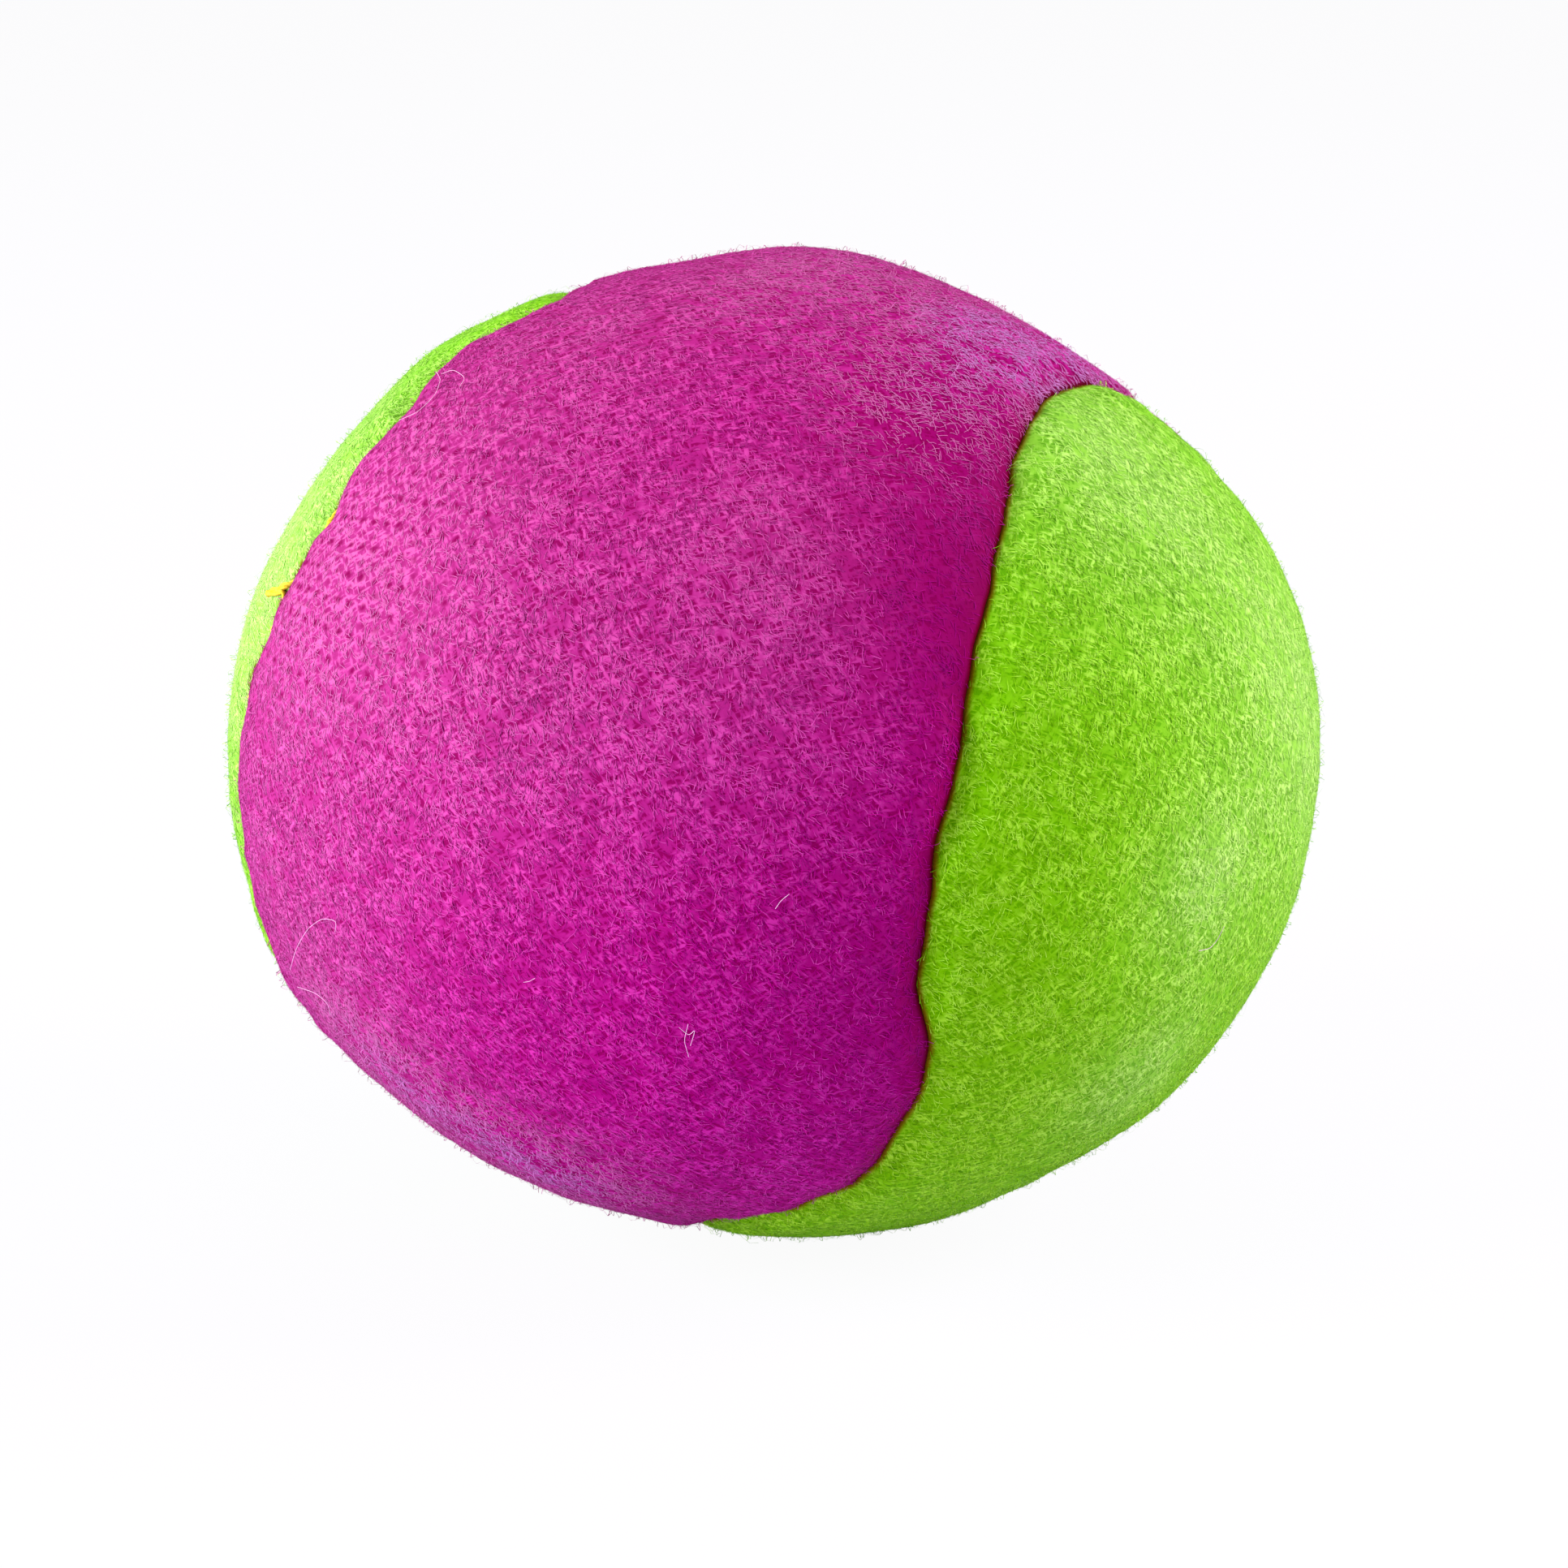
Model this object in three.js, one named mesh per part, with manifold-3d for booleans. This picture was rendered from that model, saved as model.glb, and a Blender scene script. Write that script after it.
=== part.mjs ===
// A soft throw ball: two alike fabric panels, locked into each other and sewn along one closed seam,
// turned right side out, stuffed with fibre and closed by hand through a short opening in the seam.
// Millimetres, +Z up. The ball rests on a small flat patch of its green panel.
import * as THREE from "three";
import { mergeVertices } from "three/addons/utils/BufferGeometryUtils.js";
import Module from "manifold-3d";

// Ball, sagged a little under its own weight
const BALL_WIDTH = 66.5;
const BALL_HEIGHT = 59.4;
const REST_CUT = 0.5;

// Fabric and seam
const FABRIC = 1.3;
const PANEL_GAP = 0.3;
const SEAM_ALLOWANCE = 5;
const CREASE_DEPTH = 1.1;
const CREASE_REACH = 3;
const CORNER_ROUND = 2.9;

// Threads
const STITCH_LENGTH = 5.5;
const NEEDLE_LINE = 2.5;
const NEEDLE_HOLE = 1.1;
const SEAM_THREAD = 0.4;
const CLOSING_THREAD = 0.5;
const CLOSING_PITCH = 2.2;
const CLOSING_LENGTH = 32;
const CLOSING_MIDDLE = 57;
const CLOSING_KNOT = 1.2;
const CLOSING_BITE = 1;
const CLEARANCE = 0.35;

// Panel outline in degrees: the end's reach below the ball's middle, the end corners' fall and half
// spread, and how far the lobe swells between a corner and the middle of the long edge
const END_REACH = 64.4;
const CORNER_FALL = 45.5;
const CORNER_SPREAD = 36;
const LOBE_SWELL = 4.9;
const LOBE_HALF_WIDTH = 35;

// How the ball lies, in degrees
const LEAN_FORWARD = 6.9;
const LEAN_RIGHT = 4.4;
const PANEL_YAW = -118.3;
const SAG_TILT = 4.7;

// Soft swells and dents of the stuffing: direction, height and spread in degrees
const LUMPS = [
  { toward: [0.7, 0.18, 0.69], height: -0.6, spread: 15 },
  { toward: [0.08, 0.26, 0.96], height: 0.6, spread: 14 },
  { toward: [-0.88, 0.12, 0.45], height: -0.6, spread: 13 },
  { toward: [-0.9, -0.11, -0.42], height: 0.6, spread: 14 },
  { toward: [0.79, -0.16, -0.6], height: 0.3, spread: 14 },
];

// Colours
const MAGENTA = 0xc0208c;
const GREEN = 0x8cd022;
const FIBRE_WHITE = 0xf1efe8;
const SEAM_ORANGE = 0xc87a2a;
const CLOSING_YELLOW = 0xf0dc2c;

const radians = THREE.MathUtils.degToRad;
const vector = (x, y, z) => new THREE.Vector3(x, y, z);

const semiAxes = vector(BALL_WIDTH / 2, BALL_WIDTH / 2, BALL_HEIGHT / 2);
const panelTurn = new THREE.Quaternion().setFromEuler(
  new THREE.Euler(radians(LEAN_FORWARD), radians(LEAN_RIGHT), radians(PANEL_YAW)),
);
const sagTurn = new THREE.Quaternion().setFromAxisAngle(vector(0, 1, 0), radians(SAG_TILT));

// A direction of the panels' frame to its point on the plump outside of the ball.
function onBall(direction) {
  const point = direction.clone().applyQuaternion(panelTurn);
  point.multiply(semiAxes).applyQuaternion(sagTurn);
  const outward = point.clone().normalize();
  for (const { toward, height, spread } of LUMPS) {
    const away = outward.angleTo(vector(...toward)) / radians(spread);
    point.addScaledVector(outward, height * Math.exp(-away * away));
  }
  return point;
}

// The point a given depth under the outside.
function under(direction, depth) {
  const point = onBall(direction);
  return point.multiplyScalar(1 - depth / point.length());
}

// Directions on the circle through three directions, from the first to the last.
function circleArc(first, middle, last, steps) {
  const pole = middle.clone().sub(first).cross(last.clone().sub(first)).normalize();
  const centre = pole.clone().multiplyScalar(pole.dot(first));
  const across = first.clone().sub(centre);
  const along = pole.clone().cross(across);
  const reach = last.clone().sub(centre);
  const sweep = Math.atan2(reach.dot(along), reach.dot(across));
  const full = sweep < 0 ? sweep + 2 * Math.PI : sweep;
  return Array.from({ length: steps + 1 }, (_, i) => {
    const turn = (full * i) / steps;
    return centre.clone().addScaledVector(across, Math.cos(turn)).addScaledVector(along, Math.sin(turn));
  });
}

// The half turn that carries one panel onto the other.
const swapPanels = (d) => vector(d.y, d.x, -d.z);
const mirrorEnds = (d) => vector(-d.x, d.y, d.z);
const mirrorSides = (d) => vector(d.x, -d.y, d.z);

// A quarter of the seam: from the middle of a magenta end to the middle of the next green end.
function sharpQuarter() {
  const steps = FINE_STEPS / 3;
  const fall = radians(CORNER_FALL);
  const spread = radians(CORNER_SPREAD);
  const corner = vector(
    Math.cos(fall) * Math.cos(spread),
    Math.cos(fall) * Math.sin(spread),
    -Math.sin(fall),
  );
  const endMiddle = vector(Math.cos(radians(END_REACH)), 0, -Math.sin(radians(END_REACH)));
  const edgeMiddle = vector(1, 1, 0).normalize();
  const outward = edgeMiddle.clone().cross(corner).normalize();
  const swell = corner.clone().add(edgeMiddle).normalize();
  swell.multiplyScalar(Math.cos(radians(LOBE_SWELL))).addScaledVector(outward, Math.sin(radians(LOBE_SWELL)));
  const end = circleArc(mirrorSides(corner), endMiddle, corner, 2 * steps).slice(steps);
  const edge = circleArc(corner, swell, edgeMiddle, steps);
  const half = [...end, ...edge.slice(1)];
  return [...half, ...half.slice(0, -1).reverse().map(swapPanels)];
}

// Closed loop of directions from a quarter, by the two mirrors of the panels.
function closeLoop(quarter) {
  const half = [...quarter, ...quarter.slice(0, -1).reverse().map(mirrorEnds)];
  return [...half, ...half.slice(1, -1).reverse().map(mirrorSides)];
}

// Evenly spaced directions along an open row of directions.
function resample(row, count) {
  const run = [0];
  row.slice(1).forEach((d, i) => run.push(run[i] + d.distanceTo(row[i])));
  return Array.from({ length: count + 1 }, (_, k) => {
    const at = (run.at(-1) * k) / count;
    const next = Math.min(Math.max(run.findIndex((r) => r >= at), 1), row.length - 1);
    const share = (at - run[next - 1]) / (run[next] - run[next - 1]);
    return row[next - 1].clone().lerp(row[next], share).normalize();
  });
}

// Rounds the corners of a loop by a running average, and gives its first quarter back.
function roundCorners(loop, window) {
  const count = loop.length;
  return Array.from({ length: count / 4 + 1 }, (_, k) => {
    const sum = vector(0, 0, 0);
    for (let j = -window; j <= window; j++) sum.add(loop[(k + j + count) % count]);
    return sum.normalize();
  });
}

const ballRadius = (BALL_WIDTH + BALL_WIDTH + BALL_HEIGHT) / 6;
const FINE_STEPS = 180;
const fineLoop = closeLoop(resample(sharpQuarter(), FINE_STEPS));
const fineStep = ballRadius * fineLoop[0].distanceTo(fineLoop[1]);
const roundQuarter = roundCorners(fineLoop, Math.round(CORNER_ROUND / fineStep));

// The seam in columns: two for each stitch, as many in each quarter.
const quarterArc = roundQuarter.slice(1).reduce((sum, d, i) => sum + d.distanceTo(roundQuarter[i]), 0);
const seamLength = 4 * ballRadius * quarterArc;
const stitchCount = 4 * Math.round(seamLength / (4 * STITCH_LENGTH));
const columns = 2 * stitchCount;
const columnStep = seamLength / columns;
const seam = closeLoop(resample(roundQuarter, columns / 4));
const around = (k) => ((k % columns) + columns) % columns;

// Direction across the seam, towards magenta, in the ball's surface.
const across = seam.map((d, k) => {
  const run = seam[around(k + 1)].clone().sub(seam[around(k - 1)]);
  return run.cross(d).normalize().negate();
});

// The direction beside the seam at a column, which may lie between two, at a distance to one side.
function beside(column, distance) {
  const k = Math.floor(column);
  const share = column - k;
  const from = seam[around(k)].clone().addScaledVector(across[around(k)], distance / ballRadius);
  const to = seam[around(k + 1)].clone().addScaledVector(across[around(k + 1)], distance / ballRadius);
  return from.lerp(to, share).normalize();
}

// How deep the sewn crease pulls the fabric in at a distance from the seam.
function crease(distance) {
  const share = Math.max(0, 1 - Math.abs(distance) / CREASE_REACH);
  return CREASE_DEPTH * share * share;
}

// The foot of a direction on the middle line of a panel, which runs over the ball from lobe to lobe.
function middleFoot(direction, side) {
  const d = side > 0 ? direction : swapPanels(direction);
  const lobe = radians(90 + END_REACH - LOBE_HALF_WIDTH);
  const turn = THREE.MathUtils.clamp(Math.atan2(d.x, d.z), -lobe, lobe);
  const foot = vector(Math.sin(turn), 0, Math.cos(turn));
  return side > 0 ? foot : swapPanels(foot);
}

// Places across a panel, from the seam inwards
const foldEdge = PANEL_GAP / 2;
const foldBack = foldEdge + FABRIC;
const threadRoom = SEAM_THREAD + 2 * CLEARANCE;
const grooveEdge = foldBack + threadRoom;
const finTip = CREASE_DEPTH + SEAM_ALLOWANCE;
const holeTop = CREASE_DEPTH + NEEDLE_LINE - NEEDLE_HOLE / 2;
const holeFoot = holeTop + NEEDLE_HOLE;
const INNER_SHARES = [1 / 3, 2 / 3, 1];

// Half of a thread's dip into a needle hole, in columns: a hole is one column wide
const DIP_HALF = 0.28;

// The short stretch that was left open for the filling has no machine stitches.
const openFrom = Math.floor((-CLOSING_MIDDLE - CLOSING_LENGTH / 2) / columnStep / 2) * 2;
const openTo = Math.ceil((-CLOSING_MIDDLE + CLOSING_LENGTH / 2) / columnStep / 2) * 2;
const isHole = (k) => k % 2 === 0 && !(k >= around(openFrom) && k < around(openTo));

// Collects shared points and faces of a closed skin.
class Skin {
  points = [];
  faces = [];
  known = new Map();

  vertex(point) {
    const key = point.toArray().map((c) => Math.round(c * 1e4)).join();
    if (!this.known.has(key)) {
      this.known.set(key, this.points.length);
      this.points.push(point);
    }
    return this.known.get(key);
  }

  face(a, b, c) {
    if (a !== b && b !== c && c !== a) this.faces.push(a, b, c);
  }

  quad(a, b, c, d) {
    this.face(a, b, c);
    this.face(a, c, d);
  }

  // A row of points along the seam, at a distance to one side and a depth under the plump outside.
  seamRow(distance, depth) {
    return seam.map((_, k) => this.vertex(under(beside(k, distance), depth)));
  }

  // A row further in, a share of the way from the groove's edge to the panel's middle line.
  innerRow(side, share, depth) {
    return Array.from({ length: columns / 2 }, (_, j) => {
      const edge = beside(2 * j, side * grooveEdge);
      const foot = middleFoot(edge, side);
      const swing = edge.angleTo(foot);
      const here = edge.multiplyScalar(Math.sin((1 - share) * swing));
      here.addScaledVector(foot, Math.sin(share * swing)).normalize();
      return this.vertex(under(share === 1 ? foot : here, depth));
    });
  }

  // Joins two rows all round. One may have half as many points, and cells can be left open.
  join(above, below, isOpen = () => false) {
    const count = Math.max(above.length, below.length);
    const step = above.length === below.length ? 1 : 2;
    for (let k = 0; k < count; k += step) {
      const [a, b] = [above, below].map((row) =>
        row.length === count
          ? Array.from({ length: step + 1 }, (_, i) => row[(k + i) % count])
          : [row[k / 2], row[(k / 2 + 1) % row.length]],
      );
      if (isOpen(k)) continue;
      if (a.length === b.length) this.quad(a[0], a[1], b[1], b[0]);
      else if (a.length > b.length) this.halve(a, b, (...f) => this.face(...f));
      else this.halve(b, a, (x, y, z) => this.face(x, z, y));
    }
  }

  // Three faces from two fine steps to one coarse step.
  halve(fine, coarse, addFace) {
    addFace(fine[0], fine[1], coarse[0]);
    addFace(fine[1], coarse[1], coarse[0]);
    addFace(fine[1], fine[2], coarse[1]);
  }

  joinAll(rows) {
    rows.slice(1).forEach((row, i) => this.join(rows[i], row));
  }

  geometry() {
    const flat = this.points.flatMap((p) => p.toArray());
    const geometry = new THREE.BufferGeometry();
    geometry.setAttribute("position", new THREE.Float32BufferAttribute(flat, 3));
    geometry.setIndex(this.volume() < 0 ? this.faces.toReversed() : this.faces);
    return geometry;
  }

  volume() {
    let sum = 0;
    for (let i = 0; i < this.faces.length; i += 3) {
      const [a, b, c] = this.faces.slice(i, i + 3).map((v) => this.points[v]);
      sum += a.dot(b.clone().cross(c)) / 6;
    }
    return sum;
  }
}

// A panel: the plump outside, the rolled edge at the crease, the seam allowance turned inwards with
// its needle holes, and the inside.
function panelGeometry(side) {
  const skin = new Skin();
  const outsideRow = (distance) => skin.seamRow(side * distance, crease(distance));
  const insideRow = (distance) => skin.seamRow(side * distance, FABRIC + crease(distance));
  const outside = INNER_SHARES.map((share) => skin.innerRow(side, share, 0)).reverse();
  const inside = INNER_SHARES.map((share) => skin.innerRow(side, share, FABRIC));
  const fin = (distance, depth) => skin.seamRow(side * distance, depth);
  const front = [fin(foldEdge, holeTop), fin(foldEdge, holeFoot)];
  const back = [fin(foldBack, holeFoot), fin(foldBack, holeTop)];
  const shoulder = (foldEdge + grooveEdge) / 2;

  skin.joinAll([...outside, outsideRow(grooveEdge), outsideRow(shoulder), outsideRow(foldEdge), front[0]]);
  skin.join(front[0], front[1], isHole);
  skin.joinAll([front[1], fin(foldEdge, finTip), fin(foldBack, finTip), back[0]]);
  skin.join(back[0], back[1], isHole);
  skin.joinAll([back[1], insideRow(foldBack), insideRow(grooveEdge), ...inside]);

  for (let k = 0; k < columns; k++) {
    if (!isHole(k)) continue;
    const next = around(k + 1);
    const mouth = [front[0][k], front[0][next], front[1][next], front[1][k]];
    const exit = [back[1][k], back[1][next], back[0][next], back[0][k]];
    for (let i = 0; i < 4; i++) {
      const j = (i + 1) % 4;
      skin.quad(mouth[i], mouth[j], exit[j], exit[i]);
    }
  }
  return skin.geometry();
}

// The filling follows both panels' insides and leaves a groove for the turned-in seam.
function fillingGeometry() {
  const skin = new Skin();
  const top = FABRIC + CLEARANCE;
  const floor = finTip + CLEARANCE;
  const half = (side) => [
    ...INNER_SHARES.map((share) => skin.innerRow(side, share, top)).reverse(),
    skin.seamRow(side * grooveEdge, top + crease(grooveEdge)),
    skin.seamRow(side * grooveEdge, floor),
  ];
  skin.joinAll([...half(1), skin.seamRow(0, floor), ...half(-1).reverse()]);
  return skin.geometry();
}

// A thread of square section along places beside the seam: column, distance, depth and radius.
function threadGeometry(places) {
  const skin = new Skin();
  const path = places.map(([column, distance, depth]) => under(beside(column, distance), depth));
  const rings = path.map((point, i) => {
    const ahead = path[Math.min(i + 1, path.length - 1)];
    const behind = path[Math.max(i - 1, 0)];
    const outward = point.clone().normalize();
    const sideways = ahead.clone().sub(behind).cross(outward).normalize();
    const radius = places[i][3];
    return [outward, sideways, outward.clone().negate(), sideways.clone().negate()].map((arm) =>
      skin.vertex(point.clone().addScaledVector(arm, radius)),
    );
  });
  rings.slice(1).forEach((ring, i) => skin.join(rings[i], ring));
  const [first, last] = [rings[0], rings.at(-1)];
  skin.quad(first[3], first[2], first[1], first[0]);
  skin.quad(...last);
  return skin.geometry();
}

// A machine thread lies along the back of one seam allowance and dips into each needle hole, where it
// meets the other thread half way.
function machineThread(side) {
  const radius = SEAM_THREAD / 2;
  const depth = CREASE_DEPTH + NEEDLE_LINE;
  const lying = side * (foldBack + CLEARANCE + radius);
  const dipped = side * (foldEdge + radius);
  const places = [];
  for (let k = openTo; k < openFrom + columns; k += 2) {
    const hole = k + 0.5;
    places.push([hole - DIP_HALF, lying, depth, radius]);
    places.push([hole, dipped, depth, radius]);
    places.push([hole + DIP_HALF, lying, depth, radius]);
  }
  return threadGeometry(places);
}

// The hand-sewn thread zigzags across the crease over the opening, with a knot at each end.
function closingThread() {
  const radius = CLOSING_THREAD / 2;
  const bite = CLOSING_BITE;
  const lift = crease(bite) - CLEARANCE - radius;
  const count = 2 * Math.round(CLOSING_LENGTH / (2 * CLOSING_PITCH));
  const first = (-CLOSING_MIDDLE - CLOSING_LENGTH / 2) / columnStep;
  const pitch = CLOSING_LENGTH / count / columnStep;
  const knot = (column, way) => {
    const third = (way * CLOSING_KNOT) / 3 / columnStep;
    const middle = lift - CLOSING_KNOT / 2 + radius;
    return [
      [column + 3 * third, bite, middle, radius / 2],
      [column + 2 * third, bite, middle, CLOSING_KNOT / 2],
      [column + third, bite, middle, CLOSING_KNOT / 2],
    ];
  };
  const places = knot(first, -1);
  for (let i = 0; i <= count; i++) {
    places.push([first + i * pitch, i % 2 ? -bite : bite, lift, radius]);
  }
  places.push(...knot(first + count * pitch, 1).reverse());
  return threadGeometry(places);
}

const wasm = await Module();
wasm.setup();

function solidOf(geometry) {
  const bare = geometry.clone();
  bare.deleteAttribute("normal");
  bare.deleteAttribute("uv");
  const merged = mergeVertices(bare, 1e-4);
  return new wasm.Manifold(
    new wasm.Mesh({
      numProp: 3,
      vertProperties: merged.getAttribute("position").array,
      triVerts: new Uint32Array(merged.index.array),
    }),
  );
}

function geometryOf(solid) {
  const mesh = solid.getMesh();
  const geometry = new THREE.BufferGeometry();
  geometry.setAttribute("position", new THREE.BufferAttribute(mesh.vertProperties, 3));
  geometry.setIndex(new THREE.BufferAttribute(mesh.triVerts, 1));
  return geometry;
}

// Cuts the underside flat, so that the ball stays where it is put down.
function cutRest(geometry) {
  geometry.computeBoundingBox();
  const lowest = geometry.boundingBox.min.z;
  const cutter = new THREE.BoxGeometry(BALL_WIDTH, BALL_WIDTH, BALL_WIDTH);
  cutter.translate(0, 0, lowest + REST_CUT - BALL_WIDTH / 2);
  return geometryOf(solidOf(geometry).subtract(solidOf(cutter)));
}

function piece(name, geometry, color, roughness) {
  const material = new THREE.MeshStandardMaterial({ color, roughness, metalness: 0 });
  const mesh = new THREE.Mesh(geometry, material);
  mesh.name = name;
  return mesh;
}

const ball = new THREE.Group();
ball.add(piece("magenta_panel", panelGeometry(1), MAGENTA, 0.95));
ball.add(piece("green_panel", cutRest(panelGeometry(-1)), GREEN, 0.95));
ball.add(piece("fibre_filling", fillingGeometry(), FIBRE_WHITE, 1));
ball.add(piece("seam_needle_thread", machineThread(1), SEAM_ORANGE, 0.7));
ball.add(piece("seam_bobbin_thread", machineThread(-1), SEAM_ORANGE, 0.7));
ball.add(piece("closing_thread", closingThread(), CLOSING_YELLOW, 0.6));

// The frame's origin is the middle of the footprint, on the surface that the ball rests on.
const box = new THREE.Box3().setFromObject(ball);
const footprint = box.getCenter(vector(0, 0, 0));
ball.position.set(-footprint.x, -footprint.y, -box.min.z);

export default ball;
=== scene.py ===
"""A soft throw ball of two brushed-knit panels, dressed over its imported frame."""
from functools import partial
from math import atan2, cos, pi, radians, sin, sqrt

import bmesh
import bpy
import numpy as np
from mathutils import Matrix, Vector, noise
from mathutils.bvhtree import BVHTree
from mathutils.kdtree import KDTree


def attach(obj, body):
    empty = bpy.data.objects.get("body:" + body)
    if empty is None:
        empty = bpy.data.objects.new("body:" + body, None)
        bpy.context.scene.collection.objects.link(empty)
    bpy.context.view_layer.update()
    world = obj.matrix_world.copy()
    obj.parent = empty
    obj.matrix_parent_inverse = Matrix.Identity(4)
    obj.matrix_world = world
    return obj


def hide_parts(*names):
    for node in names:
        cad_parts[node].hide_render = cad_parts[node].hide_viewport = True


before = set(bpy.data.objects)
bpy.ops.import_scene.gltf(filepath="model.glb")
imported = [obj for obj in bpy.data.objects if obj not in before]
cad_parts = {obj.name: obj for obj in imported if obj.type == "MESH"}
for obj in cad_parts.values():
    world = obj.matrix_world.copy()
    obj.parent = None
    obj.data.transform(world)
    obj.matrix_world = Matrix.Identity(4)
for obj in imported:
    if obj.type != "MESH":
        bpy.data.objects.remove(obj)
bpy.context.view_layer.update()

MM = 0.001

# The seam's sides, by the sign of a distance across it
MAGENTA = 1
GREEN = -1

# The ball's form, in millimetres and degrees, as the frame has it
BALL_WIDTH = 66.5
BALL_HEIGHT = 59.4
BALL_CENTRE = np.array([-0.05, -0.016, 29.214])
FABRIC = 1.3
SEAM_ALLOWANCE = 5.0
CREASE_DEPTH = 1.1
LIP_DROP = 0.75
LIP_REACH = 2.6
CORNER_ROUND = 2.9
END_REACH = 64.4
CORNER_FALL = 45.5
CORNER_SPREAD = 36.0
LOBE_SWELL = 4.9
LOBE_HALF_WIDTH = 35.0
LEAN_FORWARD = 6.9
LEAN_RIGHT = 4.4
PANEL_YAW = -118.3
SAG_TILT = 4.7
# Bulges and hollows of the stuffing: direction, height and spread
LUMPS = [
    ((0.7, 0.18, 0.69), -0.6, 15),
    ((0.08, 0.26, 0.96), 0.6, 14),
    ((-0.88, 0.12, 0.45), -0.6, 13),
    ((-0.9, -0.11, -0.42), 0.6, 14),
    ((0.79, -0.16, -0.6), 0.3, 14),
]
# More, on the photograph's outline: angle round it, height and spread
OUTLINE_LUMPS = [
    (12, 0.25, 12), (55, -0.6, 10), (98, -0.3, 16), (130, 0.4, 7),
    (205, 0.3, 10), (255, -1.25, 11), (286, 0.35, 10),
]
# The nap fills the frame's outline, so the cloth under it lies lower
NAP_DEPTH = 0.26
# How far the cloth stays off the floor, for the nap under it
REST_LIFT = 0.15
# Small bumps: size and height in millimetres, and a seed
CLOTH_SWELLS = (9.0, 0.22, 1)
CLOTH_DIMPLES = (2.6, 0.07, 2)
SEAM_PUCKERS = (2.2, 0.35, 3)
STUFFING_LUMPS = (5.0, 0.4, 4)
SEAM_WOBBLE = (2.8, 0.3, 5)
SEED_STRIDE = (7.3, 3.1, 5.7)

# Photograph: its side in pixels, the ball's middle and half sizes in it, and the camera
PHOTO_SIDE = 1932
BALL_PIXEL = (952, 915)
BALL_HALF_PIXELS = (676, 608)
VIEW_ELEVATION = 15.0
VIEW_DISTANCE = 265.3
NEAR_CLIP = 10.0
LENS = 100.0
SENSOR = 36.0


def unit(vectors):
    return vectors / np.linalg.norm(vectors, axis=-1, keepdims=True)


def turn(axis, degrees):
    return np.array(Matrix.Rotation(radians(degrees), 3, axis))


PANEL_TURN = turn("X", LEAN_FORWARD) @ turn("Y", LEAN_RIGHT) @ turn("Z", PANEL_YAW)
SAG_TURN = turn("Y", SAG_TILT)
SEMI_AXES = np.array([BALL_WIDTH, BALL_WIDTH, BALL_HEIGHT]) / 2
BALL_RADIUS = SEMI_AXES.mean()


def from_view(right, up, front):
    """A direction by how far it goes right, up and towards the eye in the photograph."""
    lift = radians(VIEW_ELEVATION)
    depth = up * sin(lift) - front * cos(lift)
    return (right, depth, up * cos(lift) + front * sin(lift))


def outline_toward(angle):
    """The way from the ball's middle to its outline in the photograph."""
    around = radians(angle)
    return from_view(cos(around), sin(around), 0)


def pixel_toward(pixel):
    """The way from the ball's middle to what a pixel of the photograph shows."""
    right = (pixel[0] - BALL_PIXEL[0]) / BALL_HALF_PIXELS[0]
    up = (BALL_PIXEL[1] - pixel[1]) / BALL_HALF_PIXELS[1]
    return from_view(right, up, sqrt(max(0, 1 - right ** 2 - up ** 2)))


def nearness(outward, toward, spread):
    """One at a direction, fading smoothly to nothing over a spread in degrees."""
    away = np.arccos(np.clip(outward @ unit(np.array(toward)), -1, 1)) / radians(spread)
    return np.exp(-away ** 2)


def on_ball(directions):
    """Points of the plump outside and their outward ways, for directions of the panels' frame."""
    points = (directions @ PANEL_TURN.T) * SEMI_AXES @ SAG_TURN.T
    outward = unit(points)
    outline = [(outline_toward(angle), height, spread) for angle, height, spread in OUTLINE_LUMPS]
    for toward, height, spread in LUMPS + outline:
        points = points + outward * (height * nearness(outward, toward, spread))[..., None]
    return points + BALL_CENTRE, outward


def bumps(points, size, height, seed):
    """Smooth noise over points: bumps of a size and height in millimetres."""
    shift = Vector([seed * stride for stride in SEED_STRIDE])
    return np.array([height * noise.noise(Vector(point) / size + shift) for point in points])


# The seam

COLUMNS = 1200
ARC_STEPS = 60
QUARTER_STEPS = 180
# Where the hand-guided seam strays to the magenta side: place, shift and spread in millimetres
SEAM_WANDER = [
    (97, 1.8, 5.5), (91, 0.7, 4), (86, 0.7, 5), (69, 0.5, 3), (56, -0.7, 5), (41.5, 1.0, 4),
    (22, -0.5, 3.5), (13, 0.7, 3), (-45, -1.0, 5.5), (-58, -1.2, 14), (-61, -1.2, 3.5),
    (-67, -0.4, 5), (-70.5, -1.6, 2.3), (-73, -2.2, 6), (-87, -5.2, 9),
]


def circle_arc(first, middle, last, steps):
    """Directions on the circle through three directions."""
    pole = unit(np.cross(middle - first, last - first))
    centre = pole * (pole @ first)
    across = first - centre
    along = np.cross(pole, across)
    reach = last - centre
    sweep = atan2(reach @ along, reach @ across) % (2 * pi)
    turns = np.linspace(0, sweep, steps + 1)[:, None]
    return centre + across * np.cos(turns) + along * np.sin(turns)


def swap_panels(directions):
    """The half turn that carries one panel onto the other."""
    return directions[..., [1, 0, 2]] * [1, 1, -1]


def close_loop(quarter):
    """The whole seam, from a quarter of it and its mirror images."""
    half = np.concatenate([quarter, quarter[-2::-1] * [-1, 1, 1]])
    return np.concatenate([half, half[-2:0:-1] * [1, -1, 1]])


def resample(row, count):
    """A row of directions at even steps."""
    steps = np.linalg.norm(np.diff(row, axis=0), axis=1)
    run = np.concatenate([[0], np.cumsum(steps)])
    at = np.linspace(0, run[-1], count + 1)
    return unit(np.stack([np.interp(at, run, row[:, i]) for i in range(3)], axis=1))


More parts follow.
